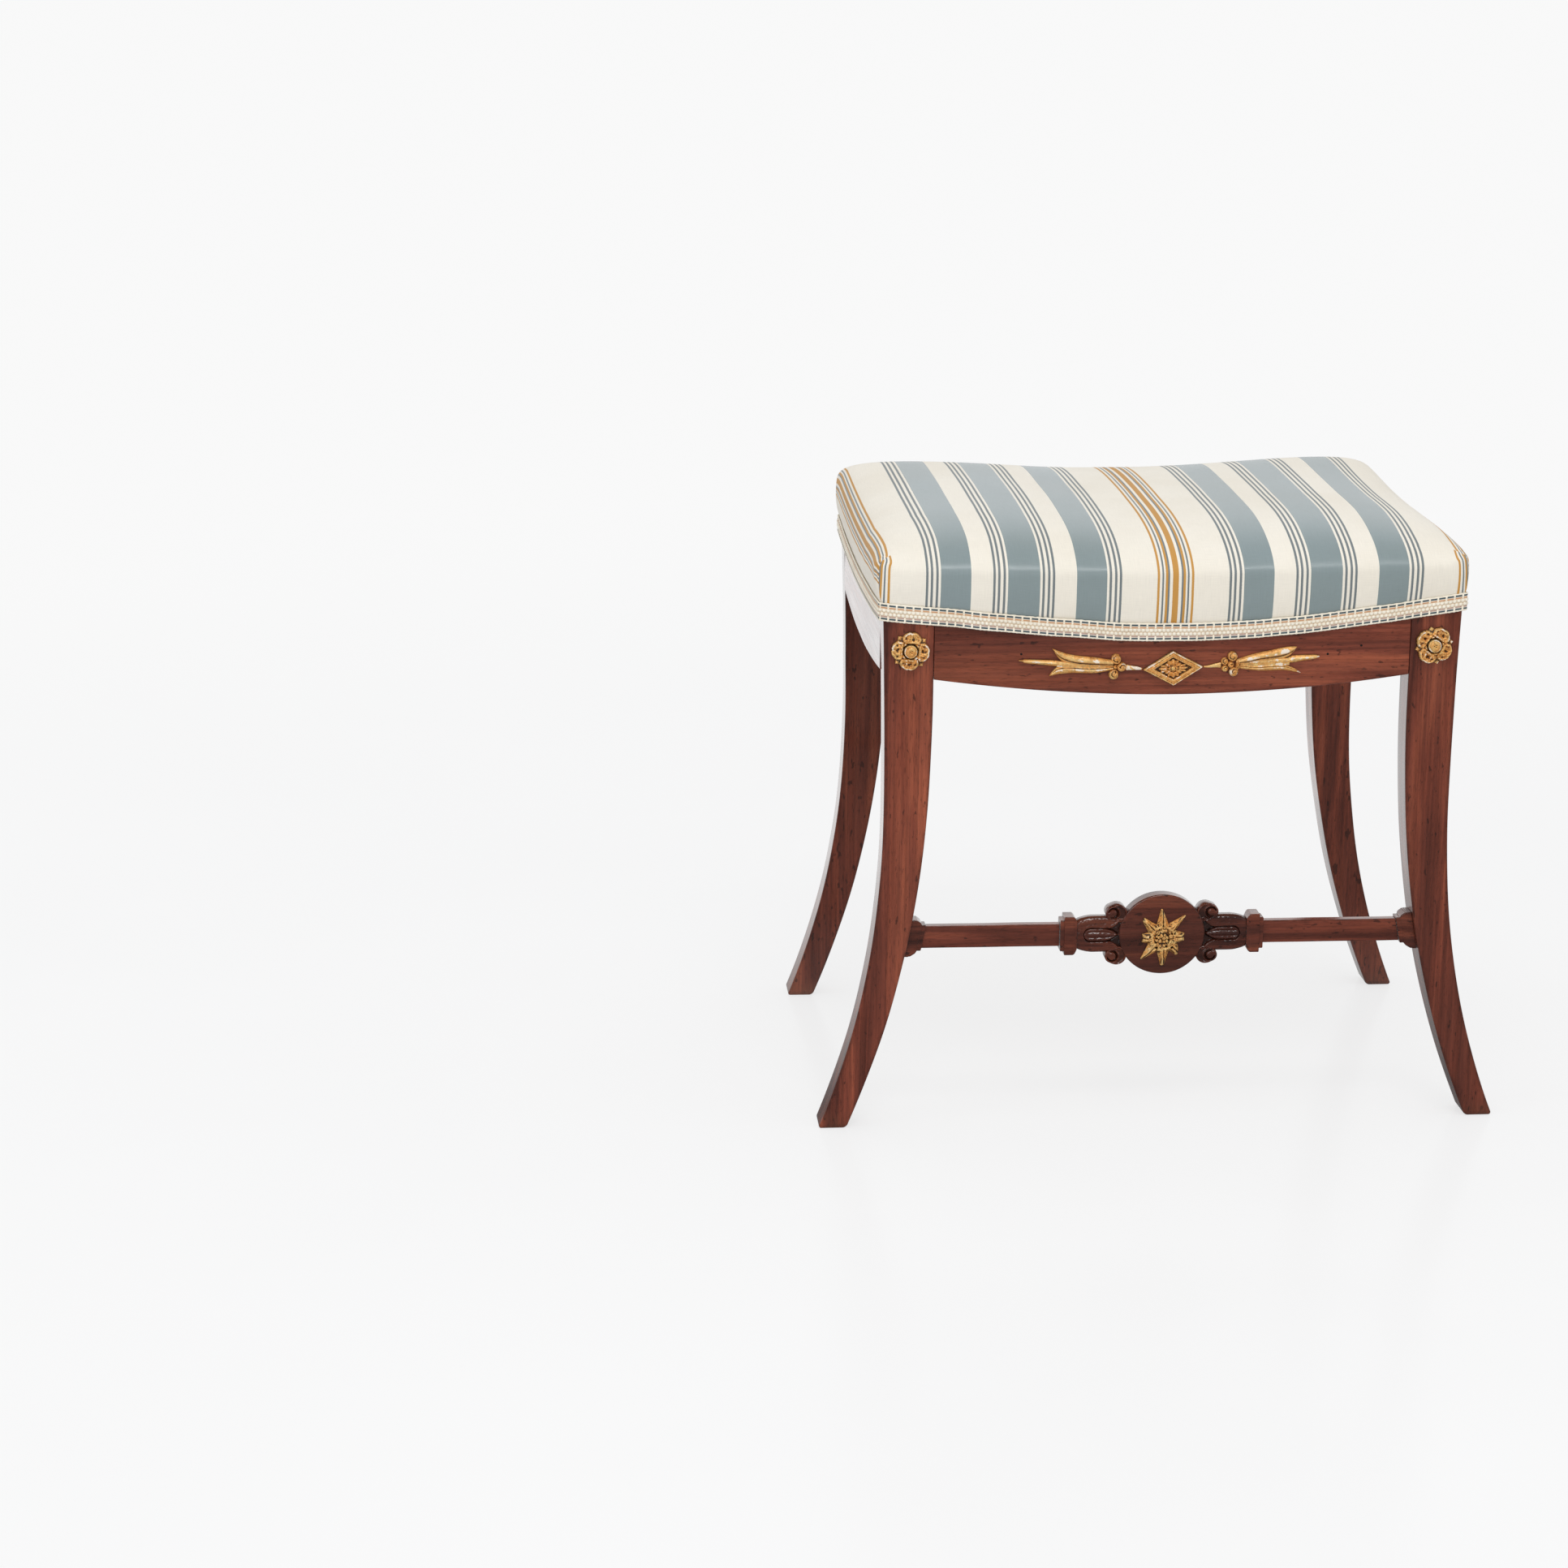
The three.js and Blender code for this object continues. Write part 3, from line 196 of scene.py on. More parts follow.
def make(name, verts, faces, uvs=None, sharp=40.0, weighted=False, **fields):
    """A linked mesh object from points in millimetres of the stool's own frame."""
    pts = np.asarray(verts, dtype=float) + np.array([0.0, SHIFT, 0.0])
    mesh = bpy.data.meshes.new(name)
    mesh.from_pydata((pts * MM).tolist(), [], faces)
    if uvs is not None:
        mesh.uv_layers.new(name="cloth").data.foreach_set("uv", np.asarray(uvs, dtype=np.float32).ravel())
    for key, values in fields.items():
        values = np.asarray(values, dtype=np.float32)
        if values.ndim == 1:
            mesh.attributes.new(key, "FLOAT", "POINT").data.foreach_set("value", values)
        else:
            full = np.insert(values, 3, 1.0, axis=1)
            mesh.color_attributes.new(key, "FLOAT_COLOR", "POINT").data.foreach_set("color", full.ravel())
    mesh.polygons.foreach_set("use_smooth", [True] * len(mesh.polygons))
    mesh.validate()
    if sharp:
        mesh.set_sharp_from_angle(angle=math.radians(sharp))
    mesh.update()
    obj = link(name, mesh)
    if weighted:
        obj.modifiers.new("even_normals", "WEIGHTED_NORMAL").keep_sharp = True
    return obj


def dress(obj, material, slot, *nodes):
    obj.data.materials.append(material)
    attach(obj, "root")
    if nodes:
        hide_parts(*nodes)
    return obj


def timber(name, built, look, node):
    verts, faces, wear = built
    dress(make(name, verts, faces, weighted=True, wear=wear), look, "mahogany", node)


# ---------------------------------------------------------------- node helpers

def colour(value):
    """A linear colour from a grey, from an sRGB colour of three bytes, or from four linear numbers."""
    if isinstance(value, (int, float)):
        return (value, value, value, 1.0)
    if len(value) == 4:
        return value
    return (*(c / 255 / 12.92 if c / 255 <= 0.04045 else ((c / 255 + 0.055) / 1.055) ** 2.4 for c in value), 1.0)


class Value:
    """An output of a node, for use in sums."""

    def __init__(self, nodes, socket):
        self.nodes, self.socket = nodes, socket

    def __add__(self, other):
        return self.nodes.math("ADD", self, other)

    def __sub__(self, other):
        return self.nodes.math("SUBTRACT", self, other)

    def __rsub__(self, other):
        return self.nodes.math("SUBTRACT", other, self)

    def __mul__(self, other):
        return self.nodes.math("MULTIPLY", self, other)

    def __truediv__(self, other):
        return self.nodes.math("DIVIDE", self, other)


class Nodes:
    """Short calls for building the node tree of a material or a world."""

    def __init__(self, owner):
        owner.use_nodes = True
        self.owner, self.tree = owner, owner.node_tree
        self.tree.nodes.clear()

    def out(self, kind, output=0, inputs=None, **settings):
        """A new node's output. Its inputs are given by name or number."""
        node = self.tree.nodes.new(kind)
        for key, value in settings.items():
            setattr(node, key, value)
        for key, value in (inputs or {}).items():
            socket = node.inputs[key]
            if isinstance(value, Value):
                self.tree.links.new(value.socket, socket)
            else:
                socket.default_value = colour(value) if socket.type == "RGBA" else value
        return Value(self, node.outputs[output]) if node.outputs else None

    def math(self, op, a, b=0.0, c=0.0, clamp=False):
        return self.out("ShaderNodeMath", 0, {0: a, 1: b, 2: c}, operation=op, use_clamp=clamp)

    def part(self, vector, index):
        return self.out("ShaderNodeSeparateXYZ", index, {0: vector})

    def field(self, name, output="Fac"):
        return self.out("ShaderNodeAttribute", output, attribute_name=name)

    def object_spot(self):
        return self.out("ShaderNodeTexCoord", "Object")

    def place(self, scale=(1, 1, 1), shift=(0, 0, 0)):
        return self.out("ShaderNodeMapping", 0, {"Vector": self.object_spot(), "Scale": scale, "Location": shift})

    def noise(self, vector, scale, detail=3.0, rough=0.55, warp=0.0):
        return self.out("ShaderNodeTexNoise", 0, {
            "Vector": vector, "Scale": scale, "Detail": detail, "Roughness": rough, "Distortion": warp})

    def threads(self, uv, u_scale, v_scale, detail=2.0):
        mapped = self.out("ShaderNodeMapping", 0, {"Vector": uv, "Scale": (u_scale, v_scale, 1.0)})
        return self.noise(mapped, 1.0, detail)

    def ramp(self, fac, *stops, interpolation="LINEAR"):
        value = self.out("ShaderNodeValToRGB", 0, {0: fac})
        ramp = value.socket.node.color_ramp
        ramp.interpolation = interpolation
        while len(ramp.elements) > 1:
            ramp.elements.remove(ramp.elements[-1])
        for index, (place, shade) in enumerate(stops):
            spot = ramp.elements.new(place) if index else ramp.elements[0]
            spot.position, spot.color = place, colour(shade)
        return value

    def mix(self, fac, a, b, blend="MIX"):
        return self.out("ShaderNodeMix", 2, {0: fac, 6: a, 7: b}, data_type="RGBA", blend_type=blend)

    def tint(self, base, share, fac, *stops):
        """The base colour multiplied by a ramp."""
        return self.mix(share, base, self.ramp(fac, *stops), "MULTIPLY")

    def bump(self, height, strength, distance, **under):
        return self.out("ShaderNodeBump", 0, {"Height": height, "Strength": strength, "Distance": distance, **under})

    def shader(self, base, **inputs):
        named = {key.replace("_", " "): value for key, value in inputs.items()}
        return self.out("ShaderNodeBsdfPrincipled", 0, {"Base Color": base, **named})

    def finish(self, surface, kind="ShaderNodeOutputMaterial"):
        self.out(kind, 0, {0: surface})
        return self.owner


def material(name):
    return Nodes(bpy.data.materials.new(name))


# ---------------------------------------------------------------- materials

SCUFF_TOP = 0.016  # the feet are scuffed up to here, in metres
HOLE_R = 0.0012


def mahogany(name, axis, shift, tone=1.0, carved=False, fade=None, holes=()):
    """tone: the tone of the whole piece; on the legs it is painted light and shade. fade: a ramp of brightness along
    an axis, as two places in millimetres and the tone at each; on the legs and the disc it is painted light and
    shade. holes: old nail holes in the front face.
    """
    n = material(f"mahogany_{name}")

    def grain(squeeze):
        return n.place([squeeze if a == axis else 1 for a in "xyz"], shift)

    wide, spot = grain(0.05), n.object_spot()
    streak = n.noise(grain(0.02), 430.0, 3.0, 0.6)
    flecks = n.noise(grain(0.09), 1500.0, 2.0, 0.5)
    rub = n.noise(n.place(shift=shift), 55.0, 4.0, 0.65)
    figure = n.noise(wide, 62.0, 4.0, 0.55, 0.7)
    base = n.ramp(figure, (0.33, (84, 39, 28)), (0.5, (121, 59, 42)), (0.68, (154, 81, 56)))
    base = n.tint(base, 0.6, streak, (0.34, 0.58), (0.62, 1.22))
    base = n.tint(base, 0.45, n.noise(n.place(shift=shift), 11.0, 2.0), (0.3, 0.72), (0.7, 1.12))
    base = n.tint(base, 0.62, flecks, (0.56, 1.05), (0.7, 0.42))
    edge = n.field("wear") * n.ramp(rub, (0.38, 0), (0.62, 1))
    base = n.mix(edge * 0.55, base, (60, 26, 18))
    # painted shade: the carving's hollows are darkened as if shadowed
    if carved:
        base = n.mix(n.field("cavity") * 0.8, base, (34, 16, 11))
    dents = n.ramp(n.noise(grain(0.4), 240.0, 2.0), (0.645, 0), (0.68, 1))
    base = n.mix(dents * 0.65, base, (44, 22, 16))
    # painted light and shade on the legs, the piece's own tone elsewhere
    base = n.mix(1.0, base, tone, "MULTIPLY")
    near_floor = n.math("SUBTRACT", 1.0, n.part(spot, 2) / SCUFF_TOP, clamp=True)
    scuffed = near_floor * n.ramp(rub, (0.35, 0.15), (0.65, 1))
    base = n.mix(scuffed * 0.6, base, (104, 64, 44))
    # a ramp of brightness along an axis: painted light and shade on the legs and on the disc, and darker towards the
    # left on the rails
    if fade:
        key, start, end, first, last = fade
        share = (n.part(spot, "xyz".index(key)) - start * MM) / ((end - start) * MM)
        base = n.tint(base, 1.0, share, (0.0, first), (1.0, last))
    for x, z in holes:
        middle = (x * MM, (SHIFT - HALF_DEPTH) * MM, z * MM)
        gap = n.out("ShaderNodeVectorMath", "Value", {0: spot, 1: middle}, operation="DISTANCE")
        base = n.mix(n.math("LESS_THAN", gap + flecks * (HOLE_R / 2), HOLE_R), base, 0.004)
    slow = n.bump(n.noise(wide, 30.0, 2.0), 0.12, 0.001)
    normal = n.bump(flecks * 0.5 + streak * 0.4, 0.08, 0.0002, Normal=slow)
    scuff = n.ramp(n.noise(wide, 90.0, 5.0, 0.7), (0.35, 0.2), (0.75, 0.42))
    return n.finish(n.shader(base, Roughness=scuff, IOR=1.35, Normal=normal,
                             Coat_Weight=1.0, Coat_Roughness=0.12, Coat_IOR=1.5, Coat_Normal=slow))


def gilt(name, shift, chipped=1.0):
    n = material(f"gilding_{name}")
    spot = n.place(shift=shift)
    cavity, ridge = n.field("cavity"), n.field("ridge")
    leaf = n.noise(spot, 160.0, 5.0, 0.65)
    base = n.ramp(leaf, (0.3, (198, 123, 54)), (0.5, (250, 174, 89)), (0.72, (255, 222, 146)))
    worn = n.ramp(n.noise(spot, 420.0, 5.0, 0.75), (0.55, 0), (0.64, 1))
    base = n.mix(worn * 0.7, base, (116, 64, 34))
    grime = n.ramp(n.noise(spot, 950.0, 4.0, 0.7, 0.6), (0.5, 0), (0.66, 1))
    base = n.mix(grime * 0.55, base, (92, 52, 26))
    # painted shade with some dirt: the hollows are darkened and lose their shine
    hollow_dirt_and_shade = n.ramp(cavity + (leaf - 0.5) * 0.5, (0.08, 0), (0.5, 1))
    base = n.mix(hollow_dirt_and_shade * 0.94, base, (44, 23, 11))
    # painted highlight: the raised parts are lightened as if catching the light
    base = n.mix(ridge * 0.6, base, (255, 224, 154))
    flaked = n.noise(n.place(shift=(shift[0] + 3, *shift[1:])), 130.0, 5.0, 0.62) + ridge * (0.17 * chipped)
    chips = n.ramp(flaked, (0.672, 0), (0.69, chipped)) * n.math("SUBTRACT", 1.0, hollow_dirt_and_shade, clamp=True)
    base = n.mix(chips, base, (238, 224, 206))
    metal = (1.0 - n.math("MAXIMUM", chips, hollow_dirt_and_shade)) * 0.4
    grain = n.noise(spot, 520.0, 4.0, 0.65) + n.noise(spot, 1500.0, 3.0) * 0.4
    return n.finish(n.shader(base, Metallic=metal, Roughness=n.ramp(leaf, (0.3, 0.32), (0.7, 0.48)),
                             Normal=n.bump(grain, 0.4, 0.0005)))


# where each stripe starts, from the middle of the pattern to its turning point
STRIPES = [
    (0.0, "gold"), (2.05, "cream"), (4.2, "grey"), (5.6, "gold"), (7.5, "cream"), (8.9, "grey"),
    (10.2, "cream"), (12.0, "gold"), (13.8, "cream"), (41.0, "grey"), (42.8, "cream"),
    (44.9, "grey"), (46.7, "cream"), (48.7, "grey"), (50.5, "cream"), (52.4, "blue"),
    (75.7, "cream"), (92.5, "grey"), (94.25, "cream"), (96.2, "grey"), (98.0, "cream"),
    (100.1, "grey"), (101.9, "cream"), (103.7, "blue"),
]
REPEAT_HALF = 116.2
MIDDLE = 0.5  # the pattern's middle lies a little to one side
SATIN = {  # the colour of each stripe and how silky it is
    "cream": ((238, 232, 219), 0.0),
    "blue": ((137, 151, 153), 1.0),
    "grey": ((116, 125, 128), 0.5),
    "gold": ((200, 146, 66), 0.0),
}


def satin():
    n = material("striped_satin")
    uv = n.out("ShaderNodeUVMap", uv_map="cloth")
    u, v = n.part(uv, 0), n.part(uv, 1)
    jitter = (n.threads(uv, 0.0, 1900.0, 1.0) - 0.5) * 0.0005
    # the cloth is drawn in a little towards the back
    back = n.math("DIVIDE", v + 0.03, 0.2, clamp=True)
    top = n.math("DIVIDE", v + 0.15, 0.06, clamp=True)
    across = u * (1.0 - (back * 0.016 + top * 0.011)) - back * 0.0026
    share = n.math("PINGPONG", across + MIDDLE * MM + jitter, REPEAT_HALF * MM) / (REPEAT_HALF * MM)
    stripes, silky = [
        n.ramp(share, *[(place / REPEAT_HALF, SATIN[key][i]) for place, key in STRIPES], interpolation="CONSTANT")
        for i in (0, 1)]
    shade = n.threads(uv, 2600.0, 70.0) * 0.55 + n.threads(uv, 90.0, 2400.0) * 0.45
    base = n.tint(stripes, 0.22, shade, (0.3, 0.7), (0.7, 1.25))
    base = n.tint(base, 0.12, n.noise(n.place(), 9.0), (0.35, (214, 202, 176)), (0.6, 1.0))
    twill = n.math("SINE", (u + v * 0.8) * 7400.0)
    normal = n.bump(twill * 0.25 + shade, 0.25, 0.0002)
    return n.finish(n.shader(base, Roughness=0.78 - silky * 0.51, IOR=1.6, Normal=normal,
                             Sheen_Weight=0.12, Sheen_Roughness=0.4))


def braid_material():
    n = material("woven_braid")
    strands = n.threads(n.out("ShaderNodeUVMap", uv_map="cloth"), 1800.0, 3600.0)
    base = n.tint(n.field("thread", "Color"), 0.3, strands, (0.3, 0.8), (0.7, 1.25))
    base = n.tint(base, 0.15, n.noise(n.place(), 45.0), (0.4, (215, 195, 160)), (0.62, 1.0))
    return n.finish(n.shader(base, Roughness=0.85, Normal=n.bump(strands, 0.5, 0.0003), Sheen_Weight=0.15))


def weave_material(name, light, dark, pitch, open_weave=0.0):
    """Plain weave of thick threads along X and Y, with painted shade where the threads dip and in the gaps of an
    open weave.
    """
    n = material(name)
    spot = n.object_spot()
    a, b = [n.math("SINE", n.part(spot, i) * (math.pi / (pitch * MM))) for i in (0, 1)]
    height = a * b * 0.5 + 0.5 + n.noise(n.place(), 900.0, 4.0, 0.7) * 0.5
    gaps = n.ramp(n.math("ABSOLUTE", a) * n.math("ABSOLUTE", b), (0.0, 1), (0.25, 0))
    # painted shade: the threads are darker where they dip, and the gaps are dark
    base = n.mix(gaps * open_weave, n.ramp(height * 0.7, (0.15, dark), (0.75, light)), dark)
    return n.finish(n.shader(base, Roughness=0.92, Normal=n.bump(height, 0.6, 0.0006)))


def pine():
    n = material("corner_pine")
    rings = n.noise(n.place((0.2, 0.2, 1.0)), 160.0, 4.0, 0.6, 1.0)
    base = n.ramp(rings, (0.3, (150, 108, 66)), (0.55, (188, 146, 96)), (0.75, (205, 168, 118)))
    base = n.tint(base, 0.5, n.noise(n.place(), 40.0, 4.0), (0.35, 0.62), (0.7, 1.05))
    return n.finish(n.shader(base, Roughness=0.78, Normal=n.bump(rings, 0.3, 0.0006)))


def steel():
    n = material("old_steel")
    rust = n.noise(n.place(), 700.0, 5.0, 0.7)
    base = n.ramp(rust, (0.4, (120, 116, 110)), (0.68, (104, 70, 44)))
    return n.finish(n.shader(base, Metallic=0.85, Roughness=n.ramp(rust, (0.4, 0.38), (0.68, 0.8)),
                             Normal=n.bump(rust, 0.3, 0.0003)))


# ---------------------------------------------------------------- legs and rails

def leg_outer(z):
    if z < WAIST_Z:
        return WAIST_X + (FOOT_HALF - WAIST_X) * ((WAIST_Z - z) / WAIST_Z) ** 2.3
    return WAIST_X + (CORNER_X - WAIST_X) * ((z - WAIST_Z) / (CORNER_Z - WAIST_Z)) ** 2


def leg_inner(z):
    share = max(0.0, (SHOULDER_Z - z) / SHOULDER_Z)
    return SHOULDER_X + (FOOT_HALF - FOOT_W - SHOULDER_X) * share ** 2.45


def build_leg(side, end):
    sections = []
    for z in [0.0, 0.5, 1.3, 2.4, *np.linspace(4.0, LEG_TOP, 96), LEG_TOP + 5]:
        tuck = 1.6 * max(0.0, 1.0 - z / 2.4) ** 2
        half = LEG_T / 2 - tuck * 0.6
        pts, worn = rounded(leg_inner(min(z, LEG_TOP)) + tuck, leg_outer(z) - tuck, -half, half, 1.1, near=3.0)
        ring = []
        for x, y in pts:
            y += end * LEG_MID_Y
            top = frame_top(x, y) if x < INNER_X else CORNER_Z
            ring.append((side * x, y, top if z > LEG_TOP else z))
        sections.append((ring, np.maximum(worn, 1.0 if z < 3 else 0.0)))
    return board(sections, side < 0, 0.35, 60.0, side * 3 + end)


def build_rail(end):
    sections = []
    for x in np.linspace(-SHOULDER_X + 0.3, SHOULDER_X - 0.3, 81):
        low = 348.2 + 13.6 * (x / SHOULDER_X) ** 2
        pts, worn = rounded(-HALF_DEPTH, -HALF_DEPTH + RAIL_T, low, frame_top(x, HALF_DEPTH), 0.8)
        sections.append(([(x, -end * y, z) for y, z in pts], worn))
    return board(sections, end > 0, 0.3, 70.0, end * 5.0)


def build_side_rail(side):
    sections = []
    reach, outer = INNER_Y - 0.3, CORNER_X - 1.4
    for y in np.linspace(-reach, reach, 61):
        low = 355.3 + 9.2 * (y / reach) ** 2
        pts, worn = rounded(outer - RAIL_T, outer, low, frame_top(INNER_X, y), 0.8)
        sections.append(([(side * x, y, z) for x, z in pts], worn))
    return board(sections, side > 0, 0.3, 70.0, side * 9.0)


# painted light and shade on each leg: the tone of the whole leg and the tone towards its foot, lighter or darker as
# the light and the floor's reflection fall on it
LEG_LIGHT_AND_SHADE = {(-1, -1): (1.04, 1.02), (1, -1): (0.94, 0.88), (-1, 1): (0.53, 1.7), (1, 1): (1.12, 0.66)}
NAIL_HOLES = ((120.1, 378.6), (-117.0, 381.0), (146.0, 385.0))


def build_frame():
    for end, end_name in ENDS:
        for side, side_name in SIDES:
            key = f"{end_name}_{side_name}"
            # each leg's painted light and shade
            tone, low = LEG_LIGHT_AND_SHADE[side, end]
            look = mahogany(f"{key}_leg", "z", (side * 3.1, end * 1.7, 0.4), tone, fade=("z", 60, 320, low, 1.0))
            timber(f"leg_{key}", build_leg(side, end), look, f"{key}_leg")
    for end, name in ENDS:
        look = mahogany(f"{name}_rail", "x", (0.3, end * 2.2, 1.1), fade=("x", -184, 184, 0.72, 1.04),
                        holes=NAIL_HOLES if end < 0 else ())
        timber(f"rail_{name}", build_rail(end), look, f"{name}_rail")
    for side, name in SIDES:
        look = mahogany(f"{name}_rail", "y", (side * 1.9, 0.2, 2.1))
        timber(f"rail_{name}", build_side_rail(side), look, f"{name}_side_rail")


# ---------------------------------------------------------------- stretcher

COLLAR_START = 67.1
COLLAR_LEN = 13.2
COLLAR_HALF = (15.6, 7.6)
EDGE_X = leg_inner(STRETCH_Z)
BLOCK_LEN = 12.6
BLOCK_HALF = (14.9, 7.4)
BAR_HALF = (9.0, 3.6)
BAR_START = COLLAR_START + COLLAR_LEN + 0.3
BAR_END = EDGE_X - BLOCK_LEN - 0.3
BAR_MID = (BAR_START + BAR_END) / 2

# shares of the length, the half height and the half thickness
COLLAR = [
    (0.0, 0.75, 0.83), (0.02, 0.77, 0.85), (0.05, 0.83, 0.88), (0.09, 0.89, 0.92), (0.14, 0.945, 0.955),
    (0.19, 0.98, 0.98), (0.24, 0.995, 1.0), (0.27, 1.0, 1.0), (0.5, 1.0, 1.0), (0.73, 1.0, 1.0),
    (0.757, 0.985, 0.99), (0.768, 0.95, 0.96), (0.776, 0.82, 0.87), (0.8, 0.81, 0.86), (0.96, 0.81, 0.86),
    (1.0, 0.785, 0.84),
]
END_BLOCK = [
    (0.0, 0.67, 0.78), (0.03, 0.7, 0.8), (0.24, 0.7, 0.8), (0.265, 0.715, 0.82), (0.29, 0.77, 0.87),
    (0.34, 0.83, 0.91), (0.41, 0.87, 0.93), (0.5, 0.92, 0.955), (0.59, 0.965, 0.98), (0.67, 0.985, 0.99),
    (0.7, 0.975, 0.985), (0.725, 0.985, 0.99), (0.77, 1.0, 1.0), (0.88, 1.0, 1.0), (1.0, 1.0, 1.0),
]


def turning(shares, start, length, half, side, r=0.7, lean=None, shake=()):
    """A moulded length of the stretcher. lean: where it starts to follow the leg, and where it does fully."""
    sections = []
    for along, high, wide in shares:
        x, h, w = start + along * length, high * half[0], wide * half[1]
        pts, worn = rounded(-w, w, -h, h, r, near=1.6)
        share = unit((x - lean[0]) / (lean[1] - lean[0])) if lean else 0.0
        ring = []
        for y, z in pts:
            shift = share * (leg_inner(z + STRETCH_Z) - EDGE_X)
            ring.append((side * (x + shift), y - LEG_MID_Y, z + STRETCH_Z))
        sections.append((ring, worn))
    return board(sections, side < 0, *shake)


def build_roundel():
    """An oval disc with softened rims."""
    rim = [(0.9, 0.0), (0.965, 0.0), (0.985, 0.25), (0.997, 0.8), (1.0, 1.5)]
    profile = [(share, DISC_HALF) for share in (0.25, 0.5, 0.75)] + [(share, DISC_HALF - d) for share, d in rim]
    profile += [(1.0, 0.0)] + [(share, d - DISC_HALF) for share, d in rim[::-1]] + [(0.5, -DISC_HALF)]
    sides = 96
    verts = [(DISC_X * share * math.cos(t), -LEG_MID_Y - y, STRETCH_Z + DISC_Z * share * math.sin(t))
             for share, y in profile for t in circle(sides)]
    wear = [1.0 if share > 0.98 and abs(y) > 4 else 0.0 for share, y in profile for _ in range(sides)]
    rows = numbered(len(profile), sides)
    front, rear = len(verts), len(verts) + 1
    verts += [(0, -LEG_MID_Y - DISC_HALF, STRETCH_Z), (0, -LEG_MID_Y + DISC_HALF, STRETCH_Z)]
    faces = tube(rows) + [(front, b, a) for _, a, b in fan(front, rows[0])] + fan(rear, rows[-1])
    return waver(verts, 0.2, 25.0), turned(faces), np.array(wear + [0.0, 0.0])


LEAF_ROOT = 34.5
LEAF_LEN = 27.0
LEAF_HALF = 4.9


def capital_relief(x, z):
    """How deep the carving lies under the face, and how much painted shade its hollow gets."""
    az = abs(z)
    q = (x - LEAF_ROOT) / LEAF_LEN
    if q <= 0 or q >= 1:
        leaf = 0.0
    elif q < 0.4:
        leaf = LEAF_HALF * math.sin(math.pi * q / 0.8) ** 1.1
    elif q < 0.82:
        leaf = LEAF_HALF
    else:
        leaf = LEAF_HALF * math.sqrt(max(0.0, 1 - ((q - 0.82) / 0.18) ** 2))
    groove = bell(az - leaf - 0.4, 0.6) if 0 < q < 1.02 else 0.0
    depth = 1.7 * groove
    inside = az < leaf
    if inside:
        side = az / max(leaf, 0.01)
        ends = smooth(0.02, 0.2, q) * (1 - smooth(0.86, 0.97, q))
        depth += 0.35 + 0.9 * bell(side - 0.45, 0.16) * ends
        depth -= 0.25 * bell(side, 0.2)
    # the sunk corners beside the leaf's point, under the side leaf's curled lip
    lip = 4.9 + 7.0 * math.exp(-max(0.0, x - 33.5) / 4.2)
    wedge = smooth(0.0, 1.2, lip - az) * (1 - inside) * (1 - smooth(43.0, 48.0, x)) * smooth(0.0, 0.9, az - leaf)
    depth += 2.4 * wedge
    depth -= 0.6 * bell(az - lip - 0.9, 0.8) * (1 - smooth(44.0, 50.0, x))
    vein = bell(az - 9.2 + 0.06 * (x - 50), 0.9) * smooth(42.0, 48.0, x) * (1 - smooth(58.0, 63.0, x))
    return depth + 0.35 * vein, min(1.0, groove + 0.9 * wedge + 0.35 * vein)


BELL_IN, BELL_LEN, BELL_OUT = 34.0, 32.8, 66.8


def bell_half(x):
    """Half height of the capital's bell, from the collar in towards the disc."""
    back = unit((BELL_OUT - x) / 33.0 / 0.4)
    return 11.3 + 2.9 * math.sin(math.pi / 2 * back) ** 0.85


def build_capital(side):
    """The carved bell: a front and a back face joined round the rim."""
    cols, rows = 92, 79
    verts, cavity, wear = [], [], []
    for face in (-1, 1):
        for i in range(cols):
            s = i / (cols - 1)
            end_fade = min(1.0, (1 - s) / 0.06)
            for j in range(rows):
                t = 2 * j / (rows - 1) - 1
                z = t * bell_half(BELL_IN + s * BELL_LEN)
                edge = 34.05 * math.sqrt(max(0.0, 1 - (z / 32.5) ** 2))
                x = edge + s * (BELL_OUT - edge)
                z = t * bell_half(x)
                round_off = 0.7 * t * t + 1.7 * max(0.0, (abs(t) - 0.78) / 0.22) ** 2.1
                depth, dark = capital_relief(x, z)
                nick = 0.22 * noise.noise(Vector((x / 2.3, z / 1.7, side * 4.0 + (face > 0))))
                y = min(6.2, max(1.8, 6.15 - round_off - depth * end_fade + nick - 0.3 * (1 - end_fade)))
                verts.append((side * x, -LEG_MID_Y + face * y, STRETCH_Z + z))
                # painted shade in the carving's hollows
                cavity.append(dark)
                wear.append(1.0 if abs(t) > 0.93 else 0.0)
    front, back = numbered(cols, rows), numbered(cols, rows, cols * rows)
    faces = strips(front, False) + turned(strips(back, False))
    low, high = [[[row[j] for row in grid] for grid in (front, back)] for j in (0, -1)]
    for rim in (low[::-1], high, (front[0], back[0]), (back[-1], front[-1])):
        faces += tube(rim, False)
    return np.array(verts), turned(faces, side < 0), np.array(cavity), np.array(wear)


EYE_X, EYE_Z, EYE_R = 39.1, 17.6, 3.15
EYE_RINGS = (0.06, 0.3, 0.6, 0.85, 1.0)
SCROLL_RINGS = (0.06, 0.12, 0.18, 0.25, 0.33, 0.41, 0.5, 0.6, 0.7, 0.79, 0.87, 0.93, 0.975, 1.0)


